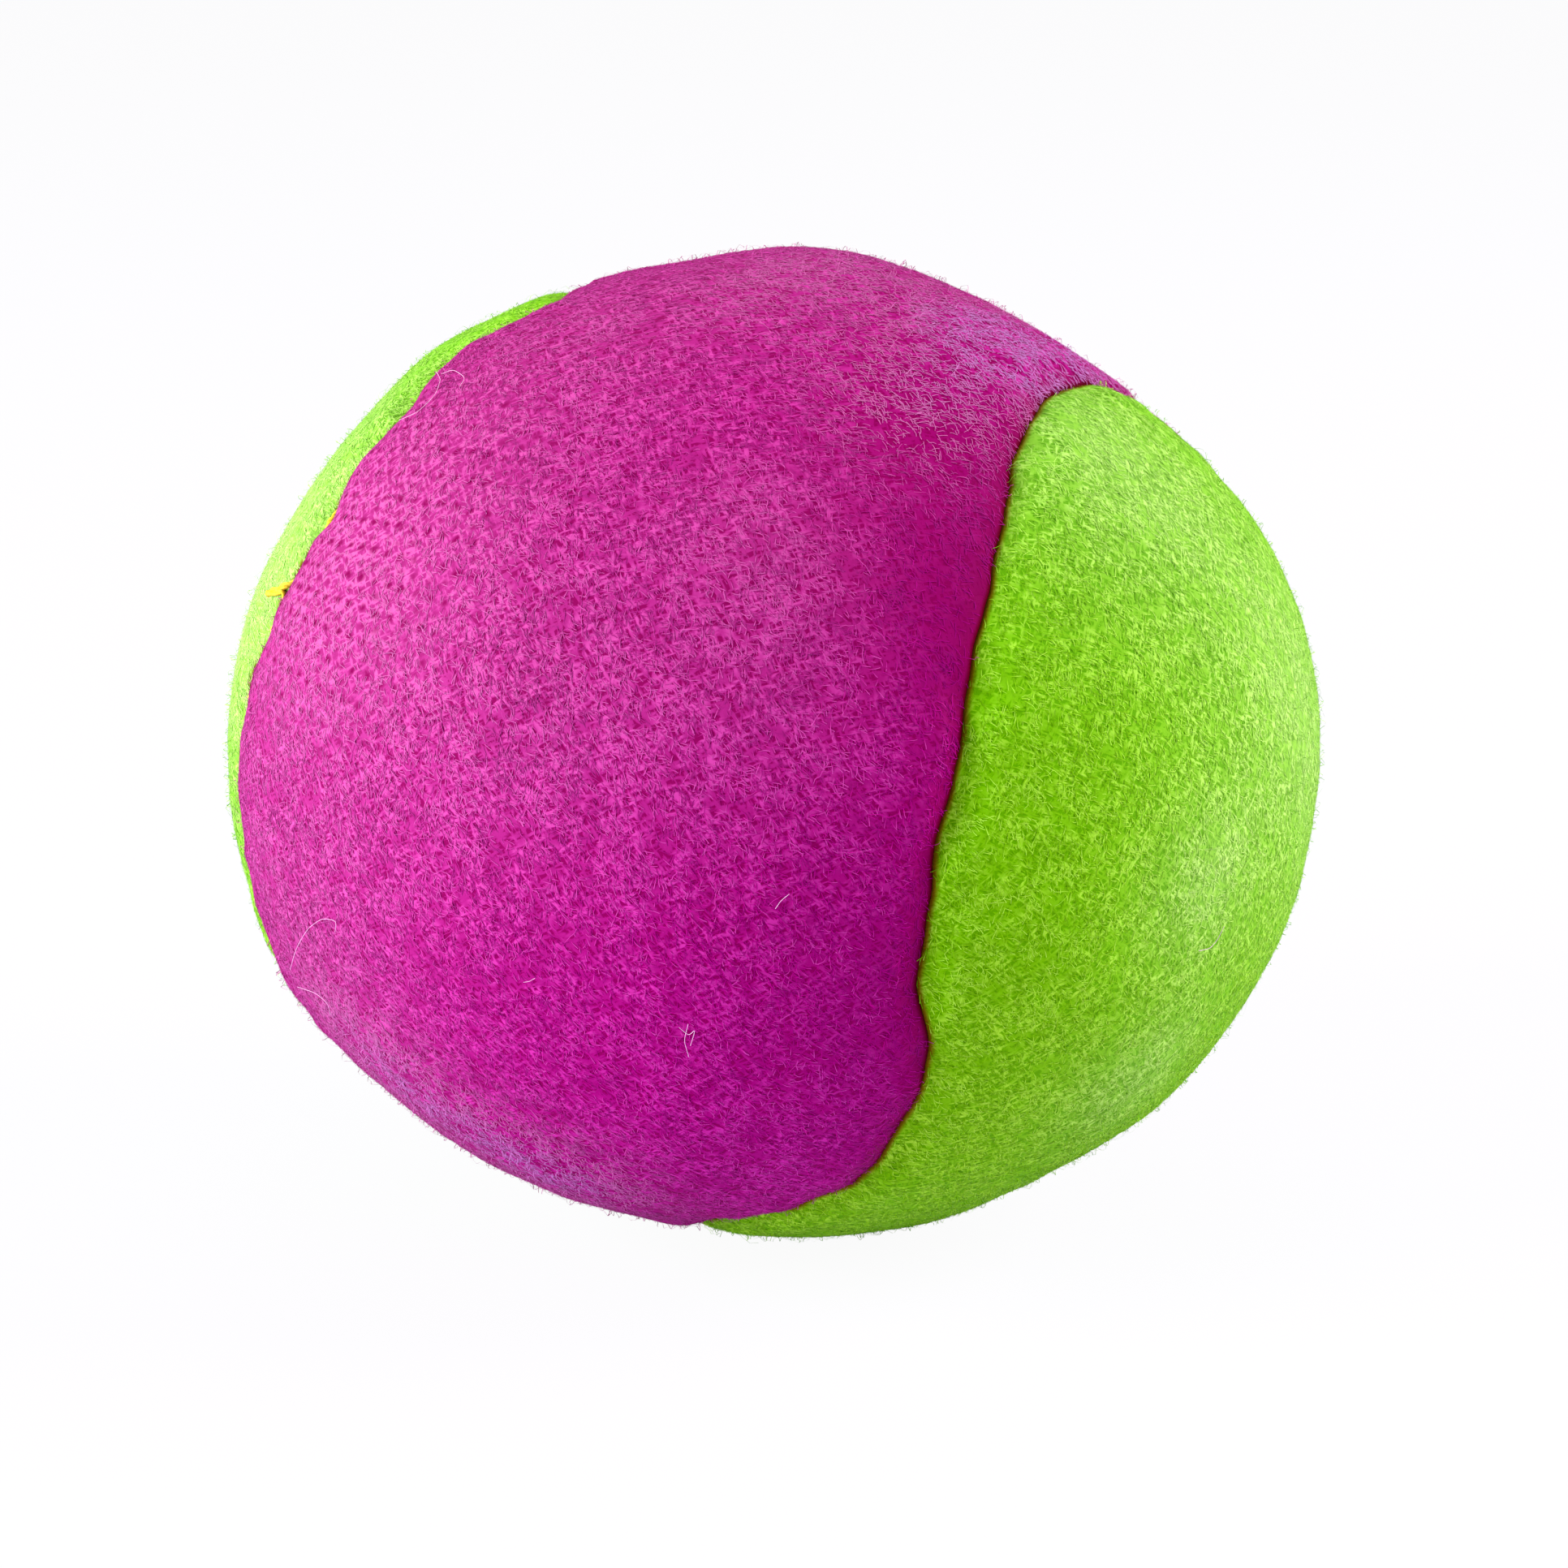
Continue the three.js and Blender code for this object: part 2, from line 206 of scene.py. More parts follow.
def sharp_quarter():
    """A quarter of the seam with sharp corners, from a magenta end's middle to a green end's."""
    fall, spread, reach, swell = np.radians([CORNER_FALL, CORNER_SPREAD, END_REACH, LOBE_SWELL])
    level = cos(fall)
    corner = np.array([level * cos(spread), level * sin(spread), -sin(fall)])
    end_middle = np.array([cos(reach), 0, -sin(reach)])
    edge_middle = unit(np.array([1.0, 1.0, 0]))
    outward = unit(np.cross(edge_middle, corner))
    swollen = unit(corner + edge_middle) * cos(swell) + outward * sin(swell)
    end = circle_arc(corner * [1, -1, 1], end_middle, corner, 2 * ARC_STEPS)[ARC_STEPS:]
    half = np.concatenate([end, circle_arc(corner, swollen, edge_middle, ARC_STEPS)[1:]])
    return np.concatenate([half, swap_panels(half[-2::-1])])


def round_seam():
    """The seam as evenly spaced directions, its corners rounded by a running average."""
    loop = close_loop(resample(sharp_quarter(), QUARTER_STEPS))
    step = BALL_RADIUS * np.linalg.norm(loop[1] - loop[0])
    window = round(CORNER_ROUND / step)
    mean = sum(np.roll(loop, shift, axis=0) for shift in range(-window, window + 1))
    return close_loop(resample(unit(mean)[: QUARTER_STEPS + 1], COLUMNS // 4))


def wander(along, length):
    """The seam's shift to the magenta side at places along it."""
    shift = np.zeros_like(along)
    for place, height, spread in SEAM_WANDER:
        away = (along - place + length / 2) % length - length / 2
        shift += height * np.exp(-(away / spread) ** 2)
    return shift


SEAM = round_seam()
ACROSS = -unit(np.cross(np.roll(SEAM, -1, axis=0) - np.roll(SEAM, 1, axis=0), SEAM))
SEAM_LENGTH = COLUMNS * BALL_RADIUS * np.linalg.norm(SEAM[1] - SEAM[0])
ALONG = np.arange(COLUMNS) * SEAM_LENGTH / COLUMNS
STRAY = wander(ALONG, SEAM_LENGTH) + bumps(SEAM * BALL_RADIUS, *SEAM_WOBBLE)


def beside(distance):
    """Directions along the seam, a distance to the magenta side of it."""
    return unit(SEAM + ACROSS * ((distance + STRAY) / BALL_RADIUS)[:, None])


def middle_feet(side):
    """Each column's foot on the middle line of its panel, which runs from lobe to lobe."""
    seam = SEAM if side == MAGENTA else swap_panels(SEAM)
    lobe = radians(90 + END_REACH - LOBE_HALF_WIDTH)
    turns = np.clip(np.arctan2(seam[:, 0], seam[:, 2]), -lobe, lobe)
    feet = np.stack([np.sin(turns), np.zeros(COLUMNS), np.cos(turns)], axis=1)
    return feet if side == MAGENTA else swap_panels(feet)


def slide(start, end, share):
    """Directions a share of the way over the ball from one row to another."""
    swing = np.arccos(np.clip((start * end).sum(axis=1), -1, 1))[:, None]
    return unit(start * np.sin((1 - share) * swing) + end * np.sin(share * swing))


# Panels

# Distances from the seam of the rows over the rolled edge
EDGE_STEPS = [2.6, 2.15, 1.7, 1.35, 1.05, 0.8, 0.6, 0.42, 0.27, 0.14, 0.02]
FIELD_ROWS = 58
INNER_SHARES = [0, 0.25, 0.5, 0.75, 1]
PUCKER_PLACE = 0.9
PUCKER_REACH = 1.6
MERGE_REACH = 0.002
SLIVER = 0.0005


def crease(distance):
    """How far the rolled edge has dropped at a distance from the seam."""
    share = max(0, 1 - abs(distance) / LIP_REACH)
    return LIP_DROP * share ** 2


def panel_rows(side):
    """Rows from the outside's middle line over the rolled edge and the turned-in allowance to the inside:
    directions, depths and distances from the seam."""
    feet = middle_feet(side)
    edge = beside(side * EDGE_STEPS[0])
    swing = np.arccos(np.clip((edge * feet).sum(axis=1), -1, 1)) * BALL_RADIUS
    rows = []
    for i in range(FIELD_ROWS):
        share = 1 - i / FIELD_ROWS
        rows.append((slide(edge, feet, share) if i else feet, 0.0, EDGE_STEPS[0] + share * swing))
    for distance in EDGE_STEPS:
        rows.append((beside(side * distance), crease(distance), np.full(COLUMNS, distance)))
    tip = CREASE_DEPTH + SEAM_ALLOWANCE
    last = EDGE_STEPS[-1]
    for distance, depth in [(last, tip / 2), (last, tip), (FABRIC, tip), (FABRIC, tip / 2)]:
        rows.append((beside(side * distance), depth, np.zeros(COLUMNS)))
    inner = beside(side * FABRIC)
    for share in INNER_SHARES:
        here = slide(inner, feet, share) if share < 1 else feet
        rows.append((here, FABRIC + crease(FABRIC) * (share == 0), np.zeros(COLUMNS)))
    return rows


def cloth_relief(points, gaps):
    """How far the outside stands off its plump form: soft unevenness, and puckers beside the seam."""
    near = np.exp(-((gaps - PUCKER_PLACE) / PUCKER_REACH) ** 2)
    relief = bumps(points, *CLOTH_SWELLS) + bumps(points, *CLOTH_DIMPLES)
    return relief + near * bumps(points, *SEAM_PUCKERS)


def row_places(directions, depth, gaps, outer):
    """A row's points on the cloth, pressed flat where it rests, and the outward directions there."""
    points, outward = on_ball(directions)
    points = points - outward * (depth + NAP_DEPTH)
    if outer:
        points = points + outward * cloth_relief(points, gaps)[:, None]
    lowest = REST_LIFT if outer else REST_LIFT + FABRIC
    points[:, 2] = np.maximum(points[:, 2], lowest)
    return points, outward


def row_spans(directions, side):
    """A row's angles along and across its panel."""
    local = directions if side == MAGENTA else swap_panels(directions)
    across = np.arcsin(np.clip(local[:, 1], -1, 1))
    return np.stack([np.arctan2(local[:, 0], local[:, 2]), across], axis=1)


def panel_mesh(name, side):
    """One panel as a closed mesh with its maps."""
    rows = panel_rows(side)
    outer_rows = FIELD_ROWS + len(EDGE_STEPS)
    parts = []
    for i, (directions, depth, gaps) in enumerate(rows):
        points, outward = row_places(directions, depth, gaps, i < outer_rows)
        shares = nap_shares(outward, gaps, side)
        parts.append((points, row_spans(directions, side), gaps, shares))
    places, spans, gaps, shares = [np.concatenate(part) for part in zip(*parts)]
    grid = np.arange(len(rows) * COLUMNS).reshape(len(rows), COLUMNS)
    beyond = np.roll(grid, -1, axis=1)
    quads = np.stack([grid[:-1], beyond[:-1], beyond[1:], grid[1:]], axis=-1).reshape(-1, 4)
    mesh = bpy.data.meshes.new(name)
    mesh.from_pydata((places * MM).tolist(), [], quads.tolist())
    inside = np.arange(grid.size) >= outer_rows * COLUMNS
    add_cloth_maps(mesh, spans, gaps, inside)
    add_nap_maps(mesh, side, np.degrees(spans[:, 0]), gaps, shares, inside)
    weld(mesh)
    return mesh


def weld(mesh):
    """Merges the columns that meet on the middle line and turns all faces outwards."""
    work = bmesh.new()
    work.from_mesh(mesh)
    bmesh.ops.remove_doubles(work, verts=work.verts, dist=MERGE_REACH * MM)
    bmesh.ops.dissolve_degenerate(work, edges=work.edges, dist=SLIVER * MM)
    bmesh.ops.recalc_face_normals(work, faces=work.faces)
    work.to_mesh(mesh)
    work.free()
    mesh.shade_smooth()


# How the nap lies and looks, and where sheen and shade are painted on it, by places in the photograph

# Where the nap is worn off and the knit rows show
WORN_PIXEL = (455, 685)
WORN_SPREAD = 18
# Where a pale sheen of the lamps is painted on the nap and its ground: pixel, strength and spread
PAINTED_SHEEN_PATCHES = {
    MAGENTA: [((430, 760), 1.0, 32), ((800, 390), 0.4, 22), ((400, 1180), 0.6, 16),
              ((950, 700), 0.4, 12), ((720, 900), 0.2, 14), ((950, 880), 0.2, 13)],
    GREEN: [((1590, 880), 0.65, 22), ((320, 720), 1.0, 30), ((1370, 590), 0.6, 19),
            ((1390, 1275), 0.45, 10), ((1450, 1060), 0.45, 9)],
}
# Where a pale rim sheen against the light is painted on the filaments only, in the same way
RIM_SHEEN_PATCHES = {
    MAGENTA: [((1250, 450), 1.0, 12), ((440, 1240), 0.6, 13), ((1050, 330), 0.5, 14),
              ((1380, 470), 0.7, 13), ((1135, 540), 0.6, 13), ((900, 390), 0.4, 13),
              ((570, 1350), 0.55, 12), ((710, 1410), 0.65, 11)],
    GREEN: [((1590, 900), 0.3, 20)],
}
# Where the magenta nap lies thin and painted shade darkens it and its ground, in the same way, and along the
# right seam below the top, away from the key lamp
THIN_AND_SHADE_PATCHES = [((1090, 1180), 0.4, 18), ((1130, 760), 0.6, 12), ((1150, 560), 0.6, 13)]
SHADED_EDGE = 0.7
THIN_EDGE_REACH = 3.5
THIN_EDGE_RISE = 2
THIN_EDGE_TOP = 0.8
THIN_EDGE_FADE = 0.3
# How much of the nap is gone where it is worn, and where it is thin
WEAR = 0.8
THINNING = 0.6
# How far from the seam painted shade darkens the cloth and its nap, and how much the nap is spared that
SEAM_SHADE = 1.8
SEAM_SPARED = {MAGENTA: 0.0, GREEN: 0.7}
# Where the nap starts beside the seam, and within what it becomes full
NAP_START = {MAGENTA: 0.18, GREEN: 0.02}
NAP_RISE = 0.3
# The nap is grown in bands along the panel, in degrees, each its own piece
NAP_BANDS = [-180, -79, 0, 79, 180]
# The map holds the outside by angles up to these, and the inside in one small corner
MAP_REACH = np.radians([160, 75])
INSIDE_CORNER = 0.005
INSIDE_SIZE = 0.02


def patch_share(outward, patches):
    """How far directions lie in soft-edged patches."""
    share = 0
    for pixel, strength, spread in patches:
        share = share + strength * nearness(outward, pixel_toward(pixel), spread)
    return np.clip(share, 0, 1)


def thin_share(outward, gaps):
    """How sparse the magenta nap lies, and how much painted shade darkens it."""
    # Painted shade along the seam, only on the ball's right side below its top, away from the key lamp
    right = np.clip(THIN_EDGE_RISE * outward[:, 0], 0, 1)
    low = np.clip((THIN_EDGE_TOP - outward[:, 2]) / THIN_EDGE_FADE, 0, 1)
    edge = SHADED_EDGE * np.exp(-(gaps / THIN_EDGE_REACH) ** 2) * right * low
    return np.clip(patch_share(outward, THIN_AND_SHADE_PATCHES) + edge, 0, 1)


def nap_shares(outward, gaps, side):
    """How worn and sparse the nap is along a row, and how much painted sheen, painted shade and painted rim
    sheen it gets.
    """
    worn = nearness(outward, pixel_toward(WORN_PIXEL), WORN_SPREAD) * (side == MAGENTA)
    pale = patch_share(outward, PAINTED_SHEEN_PATCHES[side])
    thin = thin_share(outward, gaps) * (side == MAGENTA)
    rim_sheen = patch_share(outward, RIM_SHEEN_PATCHES[side])
    return np.stack([worn, pale, thin, rim_sheen], axis=1)


def add_cloth_maps(mesh, spans, gaps, inside):
    """The panel's own map along and across its cloth, and that cloth's millimetres."""
    flat = 0.5 + spans / (2 * MAP_REACH)
    flat[inside] = INSIDE_CORNER + INSIDE_SIZE * flat[inside]
    corners = np.zeros(len(mesh.loops), dtype=np.int32)
    mesh.loops.foreach_get("vertex_index", corners)
    layer = mesh.uv_layers.new(name="OFBake")
    layer.uv.foreach_set("vector", flat[corners].astype(np.float32).ravel())
    knit = mesh.attributes.new("knit", "FLOAT_VECTOR", "POINT")
    cloth = np.column_stack([spans * BALL_RADIUS, gaps]).astype(np.float32)
    knit.data.foreach_set("vector", cloth.ravel())


def add_nap_maps(mesh, side, turns, gaps, shares, inside):
    """How the nap looks, with its painted sheen and shade, and where each of its bands grows."""
    worn, pale, thin, rim_sheen = shares.T
    # Painted sheen and painted rim sheen make the filaments paler; painted shade darkens them beside the
    # seam, less under the rim sheen
    maps = {
        "worn": worn, "pale": pale, "thin": thin, "tips": np.maximum(pale / 2, rim_sheen),
        "open": np.clip(gaps / SEAM_SHADE + rim_sheen + SEAM_SPARED[side], 0, 1),
    }
    thick = (1 - WEAR * worn) * (1 - THINNING * thin)
    grown = np.where(inside, 0.0, np.clip((gaps - NAP_START[side]) / NAP_RISE, 0, 1)) * thick
    for i in range(len(NAP_BANDS) - 1):
        maps["nap_%d" % i] = grown * (turns >= NAP_BANDS[i]) * (turns < NAP_BANDS[i + 1])
    for name, values in maps.items():
        attribute = mesh.attributes.new(name, "FLOAT", "POINT")
        attribute.data.foreach_set("value", values.astype(np.float32))


# Materials

# Knit rows and the holes in them, in millimetres of cloth: a hole's dark fades between two distances
ROW_SPACING = 1.0
HOLE_SPACING = 1.2
HOLE_EDGE = (0.075, 0.45)
HOLE_SLANT = 0.2
HOLE_DARK = 0.9
HOLE_PIT = 0.5
ODD_ROW_FAINT = 0.45
# Unevenness of the rows: bends and open stretches per millimetre, and how far they go
BENDS_PER_MM = 0.9
BEND_REACH = 0.7
STRETCHES_PER_MM = 1.1
STRETCH_EDGE = (0.25, 0.55)
LEAST_OPEN = 0.3
# Streaks of brushed loops, length and width: real fibres of about 0.02 mm, drawn coarser so that they show
STREAK_SIZE = (0.85, 0.25, 1)
STREAK_SLANT = 45
STREAK_EDGE = (0.5, 0.68)
GAP_EDGE = (0.44, 0.55)
LOOP_HEIGHT = 0.08
LOOP_BUMP = 0.25
# Clumps of nap
CLUMP_SIZE = 1.5
CLUMP_EDGE = (0.35, 0.6)
STREAKS_BETWEEN = 0.1
NAP_BETWEEN = 0.3
# Worn and thin cloth: how bare it is by its wear, what is left of dots and streaks, and how much painted
# shade darkens the cloth where the nap is thin
BARE_EDGE = (0.03, 0.4)
BARE_DOTS = 0.3
THIN_FULL = 0.8
THIN_STREAKS = 0.3
THIN_SHADE = 0.7
# How much painted sheen reaches between the streaks, and from where it fills the gaps
PALE_BETWEEN = 0.3
PALE_GAPS = (0.45, 0.9)
# Distances from the seam over which its shadow fades
SHADE_START = 0.3
SHADE_DEEP = (0.06, 0.42)
# Filament tones, and their painted sheen and painted rim sheen, as the filament's map holds them
TONE_STOPS = (0.05, 0.5, 0.95)
PALE_TONES = (0.2, 0.7)
PALE_LEAST = 0.3
PALE_WHOLE = (0.3, 0.5)
PALE_MOST = 0.85
RIM_SHEEN_START = 0.5
# Fine polyester scatters more than it mirrors
FIBRE_ROUGHNESS = 0.6
FIBRE_GLOSS = 0.015
FILAMENT_SHEEN = 0.08
VEIL_ROUGHNESS = 0.4
# Spun thread and loose fibre
YARN_TONES = (0.35, 0.65)
YARN_BUMP = 0.5
YARN_HEIGHT = 0.1
YARN_ROUGHNESS = 0.8
MIDDLE_GREY = (0.5, 0.5, 0.5)
# How Blender starts its names of node kinds, and short names of those used most, with their settings
KIND_STARTS = ("ShaderNode", "GeometryNode", "FunctionNode", "")
MATHS = "add subtract multiply divide maximum greater_than floor fract floored_modulo"
KINDS = {
    **{word: ("Math", {"operation": word.upper()}) for word in MATHS.split()},
    "fade": ("MapRange", {"interpolation_type": "SMOOTHSTEP"}),
    "noise": ("TexNoise", {}),
    "chance": ("RandomValue", {"data_type": "FLOAT"}),
    "recall": ("InputNamedAttribute", {"data_type": "FLOAT"}),
    "store": ("StoreNamedAttribute", {"data_type": "FLOAT", "domain": "POINT"}),
}


def linear(hex_colour):
    """An sRGB hex colour as linear red, green, blue and alpha."""
    parts = [int(hex_colour[i:i + 2], 16) / 255 for i in (1, 3, 5)]
    return [c / 12.92 if c <= 0.04045 else ((c + 0.055) / 1.055) ** 2.4 for c in parts] + [1.0]


def feed(made, inputs):
    """Gives a node its inputs, by name or in order: values, sockets or nodes."""
    for key, value in inputs.items() if isinstance(inputs, dict) else enumerate(inputs):
        if isinstance(value, bpy.types.Node):
            value = next(socket for socket in value.outputs if socket.enabled)
        if isinstance(value, bpy.types.NodeSocket):
            made.id_data.links.new(value, made.inputs[key])
        else:
            made.inputs[key].default_value = value


def add_node(nodes, kind, inputs=(), **settings):
    """A node with its settings and links; its kind goes without Blender's start of it."""
    kind, usual = KINDS.get(kind, (kind, {}))
    made = nodes.new(next(start + kind for start in KIND_STARTS if hasattr(bpy.types, start + kind)))
    for key, value in {**usual, **settings}.items():
        setattr(made, key, value)
    feed(made, inputs)
    return made


def new_material(name):
    """A material, what adds nodes to it, and its shader."""
    material = bpy.data.materials.new(name)
    material.use_nodes = True
    nodes = material.node_tree.nodes
    return material, partial(add_node, nodes), nodes["Principled BSDF"]


def lay_colours(node, colour, layers):
    """Colours laid over a first one, each by its share. A mix's colour sockets go by number, since its other
    kinds have the same names."""
    for share, over in layers:
        colour = node("Mix", {0: share, 6: colour, 7: over}, data_type="RGBA")
    return colour


def finish_cloth(node, shader, colour, relief, strength, height):
    """Gives a shader its colour and its fine relief."""
    bump = node("Bump", {"Height": relief, "Strength": strength, "Distance": height * MM})
    feed(shader, {"Base Color": colour, "Normal": bump})


def sway(node, pattern, reach):
    """Smooth noise as a shift in any direction, up to a reach."""
    wave = node("noise", pattern).outputs["Color"]
    centred = node("VectorMath", [wave, MIDDLE_GREY], operation="SUBTRACT")
    return node("VectorMath", {0: centred, "Scale": reach}, operation="SCALE")


def hole_shape(node, row, hole):
    """One in the middle of each hole, fading to nothing round it."""
    reaches = []
    for place, spacing in ((row, ROW_SPACING), (hole, HOLE_SPACING)):
        centred = node("subtract", [node("fract", [place]), 0.5])
        reaches.append(node("multiply", [centred, spacing]))
    up, side = reaches
    side = node("add", [side, node("multiply", [up, HOLE_SLANT])])
    away = node("VectorMath", [node("CombineXYZ", [up, side])], operation="LENGTH")
    return node("fade", [away, *HOLE_EDGE, 1.0, 0.0])


def knit_holes(node, cloth):
    """Rows of holes between the knit loops, each shifted by half a hole and every other one fainter."""
    bend = sway(node, {"Vector": cloth, "Scale": BENDS_PER_MM, "Detail": 2.0}, BEND_REACH)
    moved = node("VectorMath", [cloth, bend], operation="ADD")
    parts = node("SeparateXYZ", [moved]).outputs
    row = node("divide", [parts["X"], ROW_SPACING])
    number = node("floor", [row])
    hole = node("divide", [parts["Y"], HOLE_SPACING])
    hole = node("add", [hole, node("multiply", [number, 0.5])])
    stretch = node("noise", {"Vector": cloth, "Scale": STRETCHES_PER_MM})
    opened = node("fade", [stretch, *STRETCH_EDGE, LEAST_OPEN, 1.0])
    faint = node("multiply", [node("floored_modulo", [number, 2.0]), ODD_ROW_FAINT])
    opened = node("subtract", [opened, faint])
    return node("multiply", [hole_shape(node, row, hole), opened])


def loop_streaks(node, cloth):
    """Short crossing streaks of the brushed loops: high on them and low in the gaps."""
    streaks = []
    for slant in (STREAK_SLANT, -STREAK_SLANT):
        lie = {"Vector": cloth, "Rotation": (0, 0, radians(slant)), "Scale": STREAK_SIZE}
        laid = node("Mapping", lie, vector_type="TEXTURE")
        pattern = {"Vector": laid, "Scale": 1.0, "Detail": 1.0}
        streaks.append(node("noise", pattern, noise_dimensions="2D"))
    return node("maximum", streaks)


def shown_streaks(node, weave, worn, thin):
    """The streaks where the nap lies in clumps, or is worn off."""
    place = node("TexCoord").outputs["Object"]
    mottle = node("noise", {"Vector": place, "Scale": 1 / (CLUMP_SIZE * MM), "Detail": 2.0})
    clumps = node("fade", [mottle, *CLUMP_EDGE, STREAKS_BETWEEN, 1.0])
    left = node("fade", [thin, 0.0, THIN_FULL, 1.0, THIN_STREAKS])
    shown = node("maximum", [node("multiply", [clumps, left]), worn])
    return node("multiply", [node("fade", [weave, *STREAK_EDGE]), shown])


def dark_gaps(node, cloth, weave, worn, gap_depth):
    """The holes of worn cloth, and the pits that they and the dots between streaks make."""
    bare = node("fade", [worn, *BARE_EDGE])
    holes = node("multiply", [knit_holes(node, cloth), bare])
    dots = node("fade", [weave, *GAP_EDGE, gap_depth, 0.0])
    dots = node("multiply", [dots, node("fade", [bare, 0.0, 1.0, 1.0, BARE_DOTS])])
    return holes, node("maximum", [dots, node("multiply", [holes, HOLE_PIT])])


def brushed_knit(name, tones, veil, pit_pale, gap_depth, edge_shade):
    """Polyester warp knit whose loops are brushed up. The eye sees a mottled matt ground of crossing streaks
    with small dark gaps, rows of holes where it is worn, a paler tone painted as lamp sheen, and painted
    shade beside the seam and where the nap lies sparse."""
    material, node, shader = new_material(name)
    shade, deep, middle, light, pale = [linear(tone) for tone in tones]
    cloth = node("Attribute", attribute_name="knit").outputs["Vector"]
    # Wear, the share of painted lamp sheen, and the share of sparse nap under painted shade, as the panel's
    # maps hold them
    keys = ("worn", "pale", "thin")
    worn, brushed, thin = [node("Attribute", attribute_name=key).outputs["Fac"] for key in keys]
    weave = loop_streaks(node, cloth)
    streaks = shown_streaks(node, weave, worn, thin)
    holes, pits = dark_gaps(node, cloth, weave, worn, gap_depth)
    raised = node("fade", [streaks, 0.0, 1.0, PALE_BETWEEN, 1.0])
    filled = node("fade", [brushed, *PALE_GAPS, 0.0, pit_pale])
    gap = node("SeparateXYZ", [cloth]).outputs["Z"]
    # Over the middle tone: streaks, painted sheen, painted shade where the nap is thin, pits, holes, and
    # painted shade and shadow beside the seam
    colour = lay_colours(node, middle, [
        (streaks, light),
        (node("multiply", [brushed, raised]), pale),
        (node("multiply", [thin, THIN_SHADE]), deep),
        (pits, lay_colours(node, deep, [(filled, pale)])),
        (node("multiply", [holes, HOLE_DARK]), deep),
        (node("fade", [gap, SHADE_START, SEAM_SHADE, edge_shade, 0.0]), deep),
        (node("fade", [gap, *SHADE_DEEP, 1.0, 0.0]), shade),
    ])
    relief = node("subtract", [streaks, pits])
    finish_cloth(node, shader, colour, relief, LOOP_BUMP, LOOP_HEIGHT)
    set_fibre(shader, 0.0, veil)
    return material


def set_fibre(shader, sheen, veil):
    """Fine filaments scatter a pale veil where light grazes them."""
    feed(shader, {
        "Roughness": FIBRE_ROUGHNESS, "Specular IOR Level": FIBRE_GLOSS, "Sheen Weight": sheen,
        "Sheen Roughness": VEIL_ROUGHNESS, "Sheen Tint": linear(veil), "Specular Tint": linear(veil),
    })


def brushed_filament(name, tones, veil):
    """Brushed polyester filament. The eye sees each one's own tone, a little off its ground's, a paler tone
    painted as lamp sheen where light grazes the nap, and a paler painted rim sheen against the light. Its
    map holds the tone and the painted sheen."""
    material, node, shader = new_material(name)
    deep, middle, light, pale, rim_sheen = [linear(tone) for tone in tones]
    own = node("UVMap", uv_map="OFBake")
    parts = node("SeparateXYZ", [own]).outputs
    tone, paleness = parts["X"], parts["Y"]
    bright = node("fade", [tone, *PALE_TONES, PALE_LEAST, 1.0])
    reach = node("maximum", [bright, node("fade", [paleness, *PALE_WHOLE])])
    paled = node("fade", [paleness, 0.0, RIM_SHEEN_START, 0.0, PALE_MOST])
    # Over the filament's own tones: a painted sheen and a painted rim sheen
    colour = lay_colours(node, deep, [
        (node("MapRange", [tone, *TONE_STOPS[:2]]), middle),
        (node("MapRange", [tone, *TONE_STOPS[1:]]), light),
        (node("multiply", [paled, reach]), pale),
        (node("fade", [paleness, RIM_SHEEN_START, 1.0, 0.0, PALE_MOST]), rim_sheen),
    ])
    feed(shader, {"Base Color": colour})
    set_fibre(shader, FILAMENT_SHEEN, veil)
    return material


def plain_yarn(name, low, high, grain_size):
    """Spun thread or loose fibre. The eye sees a soft matt surface of slightly uneven tone."""
    material, node, shader = new_material(name)
    place = node("TexCoord").outputs["Object"]
    grain = node("noise", {"Vector": place, "Scale": 1 / (grain_size * MM), "Detail": 3.0})
    share = node("MapRange", [grain, *YARN_TONES])
    colour = lay_colours(node, linear(low), [(share, linear(high))])
    finish_cloth(node, shader, colour, grain, YARN_BUMP, YARN_HEIGHT)
    feed(shader, {"Roughness": YARN_ROUGHNESS})
    return material


# Knit tones are the seam's painted shadow, deep, middle, light, and the pale of painted sheen; filament
# tones deep, middle, light, and the pales of painted sheen and painted rim sheen
MAGENTA_KNIT = ("#5A0018", "#7C0048", "#98006A", "#C62A98", "#C85A9C")
GREEN_KNIT = ("#6A5200", "#4A9400", "#70BA00", "#9EE030", "#C4EC88")
MAGENTA_FILAMENT = ("#92026A", "#B40482", "#C83E9E", "#C468A2", "#C284C8")
GREEN_FILAMENT = ("#6CB402", "#88CE10", "#AEEA44", "#C8EA90", "#CCEC98")
MAGENTA_VEIL = "#FF90F0"
GREEN_VEIL = "#F4FFA0"
magenta_knit = brushed_knit(
    "magenta_brushed_knit", MAGENTA_KNIT, MAGENTA_VEIL, pit_pale=0.0, gap_depth=0.85, edge_shade=0.85)
green_knit = brushed_knit(
    "green_brushed_knit", GREEN_KNIT, GREEN_VEIL, pit_pale=0.9, gap_depth=0.6, edge_shade=0.0)
magenta_filament = brushed_filament("magenta_filament", MAGENTA_FILAMENT, MAGENTA_VEIL)
green_filament = brushed_filament("green_filament", GREEN_FILAMENT, GREEN_VEIL)
lint_white = plain_yarn("lint_fibre", "#E4A8D0", "#F2C8E4", grain_size=0.5)
yellow_thread = plain_yarn("yellow_hand_thread", "#D8BE10", "#FFEE3C", grain_size=0.3)
orange_thread = plain_yarn("orange_machine_thread", "#A85A14", "#D88A34", grain_size=0.3)
stuffing_white = plain_yarn("polyester_stuffing", "#E4E0D8", "#FAF8F2", grain_size=2.0)


# What repeats or follows a path

